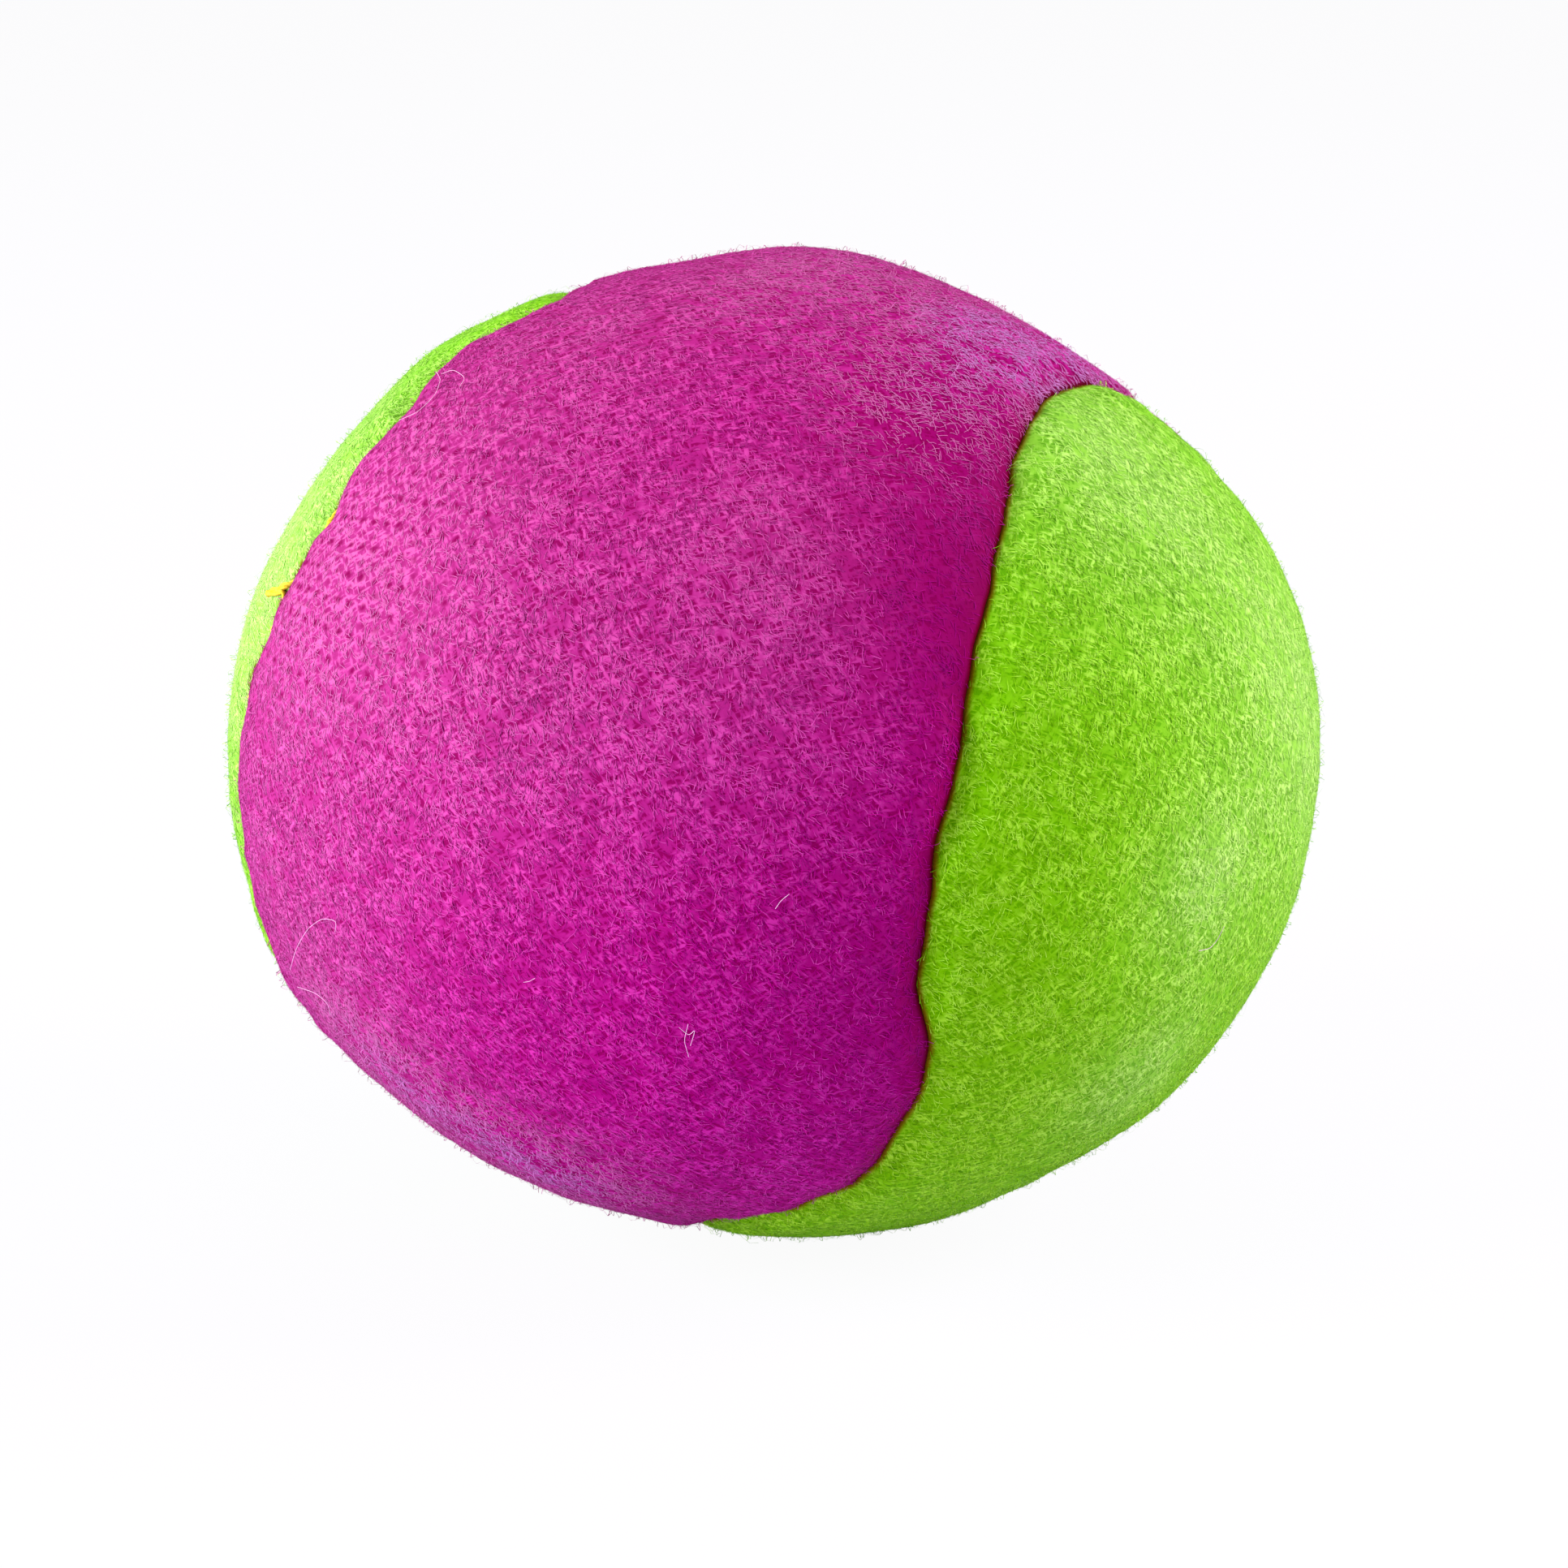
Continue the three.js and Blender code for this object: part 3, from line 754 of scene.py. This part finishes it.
NAP_INPUTS = {
    "Density": "Float", "Nap Map": "String", "Length": "Float", "Lift": "Float", "Width": "Float",
    "Segments": "Int", "Curl": "Float", "Comb": "Vector", "Spread": "Float", "Seed": "Int",
}
# How far filaments differ: least and most share of a size, and a seed
NAP_DIFFERS = [("Length", 0.6, 1.4, 12), ("Lift", 0.3, 1.7, 13)]
SWING_SEED = 11
CLUMP_SEED = 14
# A filament's arch, by its length and its lift
ARCH = {"Start": (0, 0, -0.3), "Middle": (0.45, 0, 2.2), "End": (1, 0, 0.1)}
CURL_SIZE = 0.4
# Patches of lighter and darker filaments, and how dark painted shade makes them at the seam and in thin nap
PATCH_SIZE = 3.2
PATCH_ROUGHNESS = 0.65
PATCH_EDGE = (0.3, 0.7)
PATCH_TONE = 0.25
SEAM_SHADE_TONE = 0.5
THIN_SHADE_TONE = 0.35
TONE_RANGE = (0.02, 0.98)
# A filament's root is darker up to a share of its length
ROOT_TONE = 0.4
ROOT_REACH = 0.7
# What a filament takes up of its map, and how far its painted sheen goes on it
FILAMENT_FOOTPRINT = (0.006, 0.02)
PALENESS_REACH = 0.95


def node_tree(name, inputs):
    """An empty tree, its sockets' identifiers by name, what adds nodes to it, and what it is given."""
    tree = bpy.data.node_groups.new(name, "GeometryNodeTree")
    tree.interface.new_socket("Geometry", in_out="OUTPUT", socket_type="NodeSocketGeometry")
    sockets = {}
    for key, kind in {"Geometry": "Geometry", **inputs, "Material": "Material"}.items():
        socket = tree.interface.new_socket(key, in_out="INPUT", socket_type="NodeSocket" + kind)
        sockets[key] = socket.identifier
    node = partial(add_node, tree.nodes)
    return tree, sockets, node, node("NodeGroupInput").outputs


def close_tree(node, geometry, material):
    """Ends a tree with plain geometry in its material."""
    real = node("RealizeInstances", [geometry])
    dressed = node("SetMaterial", {"Geometry": real, "Material": material})
    node("NodeGroupOutput", [dressed])


def new_object(name, data):
    made = bpy.data.objects.new(name, data)
    bpy.context.scene.collection.objects.link(made)
    return made


def grown_mesh(name, base, grower, values):
    """What a tree makes of a base mesh, as a plain mesh."""
    tree, sockets = grower
    host = new_object(name + "_host", base)
    modifier = host.modifiers.new("grower", "NODES")
    modifier.node_group = tree
    for key, value in values.items():
        modifier[sockets[key]] = value
    graph = bpy.context.evaluated_depsgraph_get()
    made = bpy.data.meshes.new_from_object(host.evaluated_get(graph))
    host.modifiers.remove(modifier)
    bpy.data.objects.remove(host)
    return made


def nap_tone(node, given):
    """Each filament's tone: by chance, in patches, and darkened by painted shade at the seam and in sparse
    nap.
    """
    patch = node("noise", {"Scale": 1 / (PATCH_SIZE * MM), "Detail": 3.0, "Roughness": PATCH_ROUGHNESS})
    luck = node("chance", {2: 0.0, 3: 1.0, "Seed": given["Seed"]})
    tone = node("add", [luck, node("fade", [patch, *PATCH_EDGE, -PATCH_TONE, PATCH_TONE])])
    # Painted shade by the seam and where the nap is thin
    for name, at_none, at_full in (("open", SEAM_SHADE_TONE, 1.0), ("thin", 1.0, THIN_SHADE_TONE)):
        level = node("fade", [node("recall", [name]), 0.0, 1.0, at_none, at_full])
        tone = node("multiply", [tone, level])
    return node("fade", [tone, 0.0, 1.0, *TONE_RANGE])


def nap_points(node, given):
    """Roots scattered over the cloth, fewer between clumps, each with its tone and upward way."""
    density = node("multiply", [given["Density"], node("recall", [given["Nap Map"]])])
    points = node("DistributePointsOnFaces",
                  {"Mesh": given["Geometry"], "Density": density, "Seed": given["Seed"]}).outputs
    clump = node("noise", {"Scale": 1 / (CLUMP_SIZE * MM), "Detail": 2.0})
    luck = node("chance", {2: 0.0, 3: 1.0, "Seed": CLUMP_SEED})
    bald = node("greater_than", [luck, node("fade", [clump, *CLUMP_EDGE, NAP_BETWEEN, 1.0])])
    roots = points["Points"]
    roots = node("DeleteGeometry", {"Geometry": roots, "Selection": bald}, domain="POINT")
    roots = node("store", {"Geometry": roots, "Name": "tone", "Value": nap_tone(node, given)})
    up = points["Normal"]
    return node("store", {"Geometry": roots, "Name": "up", "Value": up}, data_type="FLOAT_VECTOR"), up


def nap_turn(node, given, normal):
    """The way each filament lies: along the cloth, combed one way within a spread."""
    upright = node("AlignRotationToVector", {"Vector": normal}, axis="Z")
    combed = node("AlignRotationToVector", {"Rotation": upright, "Vector": given["Comb"]},
                  axis="X", pivot_axis="Z")
    luck = node("chance", {2: -0.5, 3: 0.5, "Seed": SWING_SEED})
    angle = node("multiply", [luck, given["Spread"]])
    twist = node("AxisAngleToRotation", {"Axis": (0, 0, 1), "Angle": angle})
    swung = {"Rotation": combed, "Rotate By": twist}
    return node("RotateRotation", swung, rotation_space="LOCAL")


def nap_curls(node, given, curves):
    """Curves that sway more towards their tips and know their way up."""
    along = node("SplineParameter").outputs["Factor"]
    reach = node("multiply", [along, given["Curl"]])
    offset = sway(node, {"Scale": 1 / (CURL_SIZE * MM), "Detail": 1.0}, reach)
    curled = node("SetPosition", {"Geometry": curves, "Offset": offset})
    curled = node("store", {"Geometry": curled, "Name": "along", "Value": along})
    up = node("recall", ["up"], data_type="FLOAT_VECTOR")
    return node("SetCurveNormal", {"Curve": curled, "Normal": up}, mode="FREE")


def filament_map(node):
    """Each filament's tone, darker at its root, and its paleness, on a small footprint."""
    names = ("tone", "tips", "across", "along")
    tone, tips, across, along = [node("recall", [name]) for name in names]
    tone = node("multiply", [tone, node("fade", [along, 0.0, ROOT_REACH, ROOT_TONE, 1.0])])
    tips = node("multiply", [tips, PALENESS_REACH])
    wide, long = FILAMENT_FOOTPRINT
    spot = [node("add", [start, node("multiply", [way, size])])
            for start, way, size in ((tone, across, wide), (tips, along, long))]
    return node("CombineXYZ", spot)


def nap_ribbons(node, given, curls):
    """Flat ribbons along curled curves, with their map."""
    sides = [node("multiply", [given["Width"], half]) for half in (-0.5, 0.5)]
    start, end = [node("CombineXYZ", {"Y": side}) for side in sides]
    section = node("CurvePrimitiveLine", {"Start": start, "End": end})
    across = node("SplineParameter").outputs["Factor"]
    section = node("store", {"Geometry": section, "Name": "across", "Value": across})
    ribbon = node("CurveToMesh", {"Curve": curls, "Profile Curve": section})
    mapped = {"Geometry": ribbon, "Name": "OFBake", "Value": filament_map(node)}
    return node("store", mapped, data_type="FLOAT2", domain="CORNER")


def nap_tree():
    """Scatters arched filaments over a cloth."""
    tree, sockets, node, given = node_tree("nap_of_brushed_loops", NAP_INPUTS)
    rooted, normal = nap_points(node, given)
    sizes = []
    for key, least, most, seed in NAP_DIFFERS:
        luck = node("chance", {2: least, 3: most, "Seed": seed})
        sizes.append(node("multiply", [luck, given[key]]))
    length, lift = sizes
    size = node("CombineXYZ", [length, length, lift])
    arch = node("CurveQuadraticBezier", {"Resolution": given["Segments"], **ARCH})
    lie = nap_turn(node, given, normal)
    placed = node("InstanceOnPoints",
                  {"Points": rooted, "Instance": arch, "Rotation": lie, "Scale": size})
    curves = node("RealizeInstances", [placed])
    ribbons = nap_ribbons(node, given, nap_curls(node, given, curves))
    close_tree(node, ribbons, given["Material"])
    return tree, sockets


def thread_tree():
    """Round thread along the edges of a mesh."""
    tree, sockets, node, given = node_tree("thread_along_path", {"Radius": "Float", "Sides": "Int"})
    path = node("MeshToCurve", {"Mesh": given["Geometry"]})
    size = {"Resolution": given["Sides"], "Radius": given["Radius"]}
    ring = node("CurvePrimitiveCircle", size)
    tube = node("CurveToMesh", {"Curve": path, "Profile Curve": ring, "Fill Caps": True})
    smooth = node("SetShadeSmooth", {"Geometry": tube})
    close_tree(node, smooth, given["Material"])
    return tree, sockets


NAP = nap_tree()
THREAD = thread_tree()


# Pieces

# Filaments per square millimetre, their length, lift and width, and how far they swing off the combed way.
# Real ones are about 0.02 mm thick; they are drawn thicker, so that they show
NAP_LAYERS = {
    "nap": {"Density": 26.0 / MM ** 2, "Length": 0.55 * MM, "Lift": 0.035 * MM, "Width": 0.04 * MM,
            "Segments": 3, "Curl": 0.3 * MM, "Spread": radians(120)},
    "hair": {"Density": 1.1 / MM ** 2, "Length": 1.2 * MM, "Lift": 0.2 * MM, "Width": 0.03 * MM,
             "Segments": 6, "Curl": 0.9 * MM, "Spread": radians(300)},
}
COMB = (0.55, 0.0, -0.8)
NAP_SEED = 21
FLOOR_GAP = 0.02


def add_piece(name, mesh, material=None):
    mesh.name = name
    piece = new_object(name, mesh)
    if material:
        mesh.materials.clear()
        mesh.materials.append(material)
    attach(piece, "root")
    return piece


def lay_on_floor(mesh):
    """Presses what would hang through the floor flat onto it."""
    points = np.zeros(3 * len(mesh.vertices), dtype=np.float32)
    mesh.vertices.foreach_get("co", points)
    points[2::3] = np.maximum(points[2::3], FLOOR_GAP * MM)
    mesh.vertices.foreach_set("co", points)


def grow_nap(name, ground, values):
    """The nap over a ground, as a piece of its own without the ground's maps."""
    grown = grown_mesh(name, ground, NAP, values)
    maps = [a for a in grown.attributes if a.domain == "POINT" and not (a.is_internal or a.is_required)]
    for spare in [a.name for a in maps]:
        grown.attributes.remove(grown.attributes[spare])
    lay_on_floor(grown)
    return add_piece(name, grown)


def grow_layers(colour, ground, filament):
    for region in range(len(NAP_BANDS) - 1):
        place = {"Nap Map": "nap_%d" % region, "Comb": COMB, "Seed": NAP_SEED + region, "Material": filament}
        for layer, build in NAP_LAYERS.items():
            fibres = grow_nap("%s_%s_%d" % (colour, layer, region + 1), ground, {**build, **place})


magenta_mesh = panel_mesh("magenta_cloth", MAGENTA)
green_mesh = panel_mesh("green_cloth", GREEN)
magenta_cloth = add_piece("magenta_cloth", magenta_mesh, magenta_knit)
green_cloth = add_piece("green_cloth", green_mesh, green_knit)
for cloth, solid, slot in (
    (magenta_cloth, "magenta_panel", "magenta_fabric"),
    (green_cloth, "green_panel", "green_fabric"),
):
    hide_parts(solid)
grow_layers("magenta", magenta_mesh, magenta_filament)
grow_layers("green", green_mesh, green_filament)


# Threads

THREAD_SIDES = 6
# A direction that no thread follows
OFF_WAY = (0.31, 0.52, 0.79)
# Closing stitches: where they run along the seam, and their steps ahead, to the magenta side and inwards
CLOSING_START = -74.0
CLOSING_END = -41.0
CLOSING_STITCH = 1.4
SHOWN_STITCH = [(0.0, -0.16, 0.8)]
HIDDEN_STITCH = [(0.0, -0.02, 1.2)]
SLACK_STITCH = [(-0.6, 0.0, 0.3), (0.9, -1.25, -0.2), (-0.2, 0.0, 0.3)]
SLACK_PLACE = 16
CLOSING_POINTS = 12
CLOSING_PASSES = 6
# Its two plies: radius, how far each lies off the middle, and the length of a turn
PLY_RADIUS = 0.12
PLY_REACH = 0.11
PLY_TURN = 2.0
# Machine stitches: length, depth below the crease, thread, and how the two threads meet in the holes
STITCH_LENGTH = 5.5
NEEDLE_LINE = 2.5
SEAM_THREAD = 0.4
STITCH_POINTS = 12
DIP_SHARPNESS = 6
DIP_GAP = 0.05


def seam_points(along, shift, depth):
    """Points by their place along the seam, shift to the magenta side and depth, in millimetres."""
    column = np.mod(along, SEAM_LENGTH) / SEAM_LENGTH * COLUMNS
    low = np.floor(column).astype(int) % COLUMNS
    high = (low + 1) % COLUMNS
    share = (column - np.floor(column))[:, None]
    side = [SEAM[i] + ACROSS[i] * ((shift + STRAY[i]) / BALL_RADIUS)[:, None] for i in (low, high)]
    points, outward = on_ball(unit(side[0] * (1 - share) + side[1] * share))
    return points - outward * (np.asarray(depth) + NAP_DEPTH)[:, None]


def add_thread(name, strands, radius, material, closed=False):
    """A piece of round strands along paths in millimetres."""
    places, edges = [], []
    for strand in strands:
        start = len(places)
        count = len(strand)
        places.extend((strand * MM).tolist())
        edges.extend((start + i, start + (i + 1) % count) for i in range(count if closed else count - 1))
    path = bpy.data.meshes.new(name)
    path.from_pydata(places, edges, [])
    build = {"Radius": radius * MM, "Sides": THREAD_SIDES, "Material": material}
    return add_piece(name, grown_mesh(name, path, THREAD, build))


def finer(places, points):
    """A path with more points between its places."""
    places = np.array(places)
    at = np.linspace(0, len(places) - 1, len(places) * points)
    return np.stack([np.interp(at, np.arange(len(places)), values) for values in places.T], axis=1)


def soften(path, passes):
    """Rounds a path's corners."""
    for _ in range(passes):
        path[1:-1] = (path[:-2] + 2 * path[1:-1] + path[2:]) / 4
    return path


def plied(path, reach, pitch):
    """Two strands laid round each other along a path."""
    steps = np.diff(path, axis=0, append=path[-1:] * 2 - path[-2:-1])
    run = np.cumsum(np.linalg.norm(steps, axis=1))
    first = unit(np.cross(steps, OFF_WAY))
    second = unit(np.cross(steps, first))
    turns = (run / pitch * 2 * pi)[:, None]
    swing = reach * (first * np.cos(turns) + second * np.sin(turns))
    return [path + swing, path - swing]


def closing_path():
    """Hand stitches that dive into the crease and peep out on the green side, one of them slack."""
    places = []
    for k in range(int((CLOSING_END - CLOSING_START) / CLOSING_STITCH)):
        stitch = HIDDEN_STITCH if k % 2 else SHOWN_STITCH
        for ahead, across, deep in SLACK_STITCH if k == SLACK_PLACE else stitch:
            places.append((CLOSING_START + k * CLOSING_STITCH + ahead, across, deep))
    return soften(seam_points(*finer(places, CLOSING_POINTS).T), CLOSING_PASSES)


def machine_path(side):
    """One machine thread: along the turned-in edge, dipping to the other thread at each stitch."""
    stitches = round(SEAM_LENGTH / STITCH_LENGTH)
    along = np.linspace(0, SEAM_LENGTH, stitches * STITCH_POINTS, endpoint=False)
    dip = np.maximum(0, np.cos(along / SEAM_LENGTH * stitches * 2 * pi)) ** DIP_SHARPNESS
    shift = side * (FABRIC + SEAM_THREAD / 2 - dip * (FABRIC - DIP_GAP))
    return seam_points(along, shift, np.full(len(along), CREASE_DEPTH + NEEDLE_LINE))


plies = plied(closing_path(), PLY_REACH, PLY_TURN)
closing = add_thread("closing_stitches", plies, PLY_RADIUS, yellow_thread)
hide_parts("closing_thread")
for name, solid, side in (
    ("needle_stitches", "seam_needle_thread", MAGENTA),
    ("bobbin_stitches", "seam_bobbin_thread", GREEN),
):
    stitches = add_thread(name, [machine_path(side)], SEAM_THREAD / 2, orange_thread, True)
    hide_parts(solid)


# Stuffing

# Room for the turned-in edges beside the seam, and over what it ends
GROOVE_HALF = 3.4
GROOVE_FADE = 1.2
STUFFING_GAP = 0.6
STUFFING_LIFT = 0.3
STUFFING_LEVELS = 6


def stuffing_mesh():
    """Lumps of loose fibre that fill the cloth and leave room for the turned-in edges."""
    mesh = bpy.data.meshes.new("stuffing")
    work = bmesh.new()
    bmesh.ops.create_icosphere(work, subdivisions=STUFFING_LEVELS, radius=1.0)
    directions = unit(np.array([vert.co for vert in work.verts]))
    tree = KDTree(COLUMNS)
    for i, seam_place in enumerate(beside(0)):
        tree.insert(seam_place, i)
    tree.balance()
    gap = np.array([tree.find(direction)[2] for direction in directions]) * BALL_RADIUS
    points, outward = on_ball(directions)
    groove = (CREASE_DEPTH + SEAM_ALLOWANCE) * np.clip((GROOVE_HALF - gap) / GROOVE_FADE, 0, 1)
    depth = NAP_DEPTH + FABRIC + STUFFING_GAP + bumps(points, *STUFFING_LUMPS) + groove
    places = points - outward * depth[:, None]
    places[:, 2] = np.maximum(places[:, 2], REST_LIFT + FABRIC + STUFFING_LIFT)
    for vert, place in zip(work.verts, places * MM):
        vert.co = place
    work.to_mesh(mesh)
    work.free()
    mesh.shade_smooth()
    return mesh


stuffing = add_piece("stuffing", stuffing_mesh(), stuffing_white)
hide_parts("fibre_filling")


# Camera, by whose view the lint is placed

def add_camera():
    """The camera that took the photograph, as far as its picture tells."""
    made = new_object("camera", bpy.data.cameras.new("camera"))
    made.location = Vector((BALL_CENTRE + np.array(from_view(0, 0, VIEW_DISTANCE))) * MM)
    made.rotation_euler = (radians(90 - VIEW_ELEVATION), 0, 0)
    made.data.lens = LENS
    made.data.sensor_width = SENSOR
    made.data.shift_x = (PHOTO_SIDE / 2 - BALL_PIXEL[0]) / PHOTO_SIDE
    made.data.shift_y = (BALL_PIXEL[1] - PHOTO_SIDE / 2) / PHOTO_SIDE
    made.data.clip_start = NEAR_CLIP * MM
    bpy.context.scene.camera = made
    return made


camera = add_camera()


# Lint caught in the nap, each strand by pixels of the photograph
LINT = [
    [(496, 522), (518, 513), (540, 492), (547, 472), (541, 463)],
    [(547, 466), (562, 460), (577, 470), (570, 481)],
    [(418, 1146), (420, 1132), (402, 1129), (384, 1142), (370, 1166), (363, 1192)],
    [(372, 1213), (394, 1220), (409, 1233), (412, 1247)],
    [(648, 1207), (655, 1206), (662, 1202)],
    [(955, 1118), (962, 1108), (972, 1100)],
    [(838, 1262), (850, 1272), (858, 1264), (852, 1284)],
    [(849, 1258), (844, 1278), (850, 1298)],
    [(1472, 1169), (1486, 1166), (1495, 1155), (1503, 1139)],
]
LINT_RADIUS = 0.015
LINT_LIFT = 0.3
LINT_POINTS = 8
LINT_PASSES = 10


def ray_tree(mesh):
    """A mesh that rays can be cast at."""
    places = [vert.co for vert in mesh.vertices]
    return BVHTree.FromPolygons(places, [face.vertices for face in mesh.polygons])


GROUNDS = [ray_tree(mesh) for mesh in (magenta_mesh, green_mesh)]


def pixel_place(pixel, lift):
    """The place on the cloth that a pixel shows, lifted off it, in millimetres."""
    view = camera.matrix_basis
    reach = SENSOR / LENS / PHOTO_SIDE
    ray = Vector(((pixel[0] - BALL_PIXEL[0]) * reach, (BALL_PIXEL[1] - pixel[1]) * reach, -1))
    ray = view.to_3x3() @ ray.normalized()
    hits = [hit for hit in (ground.ray_cast(view.translation, ray) for ground in GROUNDS) if hit[0]]
    place, normal = min(hits, key=lambda hit: hit[3])[:2]
    return np.array((place + normal * lift * MM) / MM)


def lint_path(pixels):
    """A soft curve over the places that pixels show."""
    places = [pixel_place(pixel, LINT_LIFT) for pixel in pixels]
    return soften(finer(places, LINT_POINTS), LINT_PASSES)


lint = add_thread("lint", [lint_path(pixels) for pixels in LINT], LINT_RADIUS, lint_white)


# Stage and light

# Lamps: name, place and size in metres, power in watts and colour
LAMPS = [
    ("key_left", (-0.58, -0.24, 0.28), 0.4, 7.4, "#FFFFFF"),
    ("rim_right", (0.48, 0.0, 0.3), 0.35, 4.0, "#FFF4FC"),
    ("top", (0.0, 0.2, 0.6), 0.5, 1.0, "#F4F2FF"),
]
WHITE = "#FFFFFF"
PAPER = "#E0D4FF"
PAPER_ROUGHNESS = 0.9
FLOOR_HALF = 3.0
# How much of the seen floor is plain white, and how strongly the surround lights the ball
FLOOR_WHITE = 0.95
SURROUND_LIGHT = 0.22


def add_area_light(name, place, size, power, colour):
    lamp = bpy.data.lights.new(name, "AREA")
    lamp.shape = "DISK"
    lamp.size = size
    lamp.energy = power
    lamp.color = linear(colour)[:3]
    made = new_object(name, lamp)
    made.location = place
    aim = Vector(BALL_CENTRE * MM) - made.location
    made.rotation_euler = aim.to_track_quat("-Z", "Y").to_euler()


def white_paper():
    """Matt paper, nearly white to the camera, that still keeps the shadow."""
    material, node, shader = new_material("white_paper_floor")
    feed(shader, {"Base Color": linear(PAPER), "Roughness": PAPER_ROUGHNESS})
    seen = node("LightPath").outputs["Is Camera Ray"]
    glow = node("Emission", {"Color": linear(WHITE), "Strength": 1.0})
    share = node("multiply", [seen, FLOOR_WHITE])
    mix = node("MixShader", [share, shader, glow])
    feed(material.node_tree.nodes["Material Output"], {"Surface": mix})
    return material


def add_floor():
    mesh = bpy.data.meshes.new("floor")
    corners = [(x * FLOOR_HALF, y * FLOOR_HALF, 0) for x, y in ((-1, -1), (1, -1), (1, 1), (-1, 1))]
    mesh.from_pydata(corners, [], [(0, 1, 2, 3)])
    floor = new_object("floor", mesh)
    mesh.materials.append(white_paper())


def add_surround():
    """A white surround that lights the ball only a little."""
    world = bpy.data.worlds.new("studio")
    bpy.context.scene.world = world
    world.use_nodes = True
    nodes = world.node_tree.nodes
    path = add_node(nodes, "LightPath").outputs
    seen = add_node(nodes, "maximum", [path["Is Camera Ray"], path["Is Glossy Ray"]])
    level = add_node(nodes, "MapRange", {"Value": seen, "To Min": SURROUND_LIGHT, "To Max": 1.0})
    feed(nodes["Background"], {"Color": linear(WHITE), "Strength": level})


for lamp in LAMPS:
    add_area_light(*lamp)
add_floor()
add_surround()
bpy.context.scene.view_settings.view_transform = "Standard"
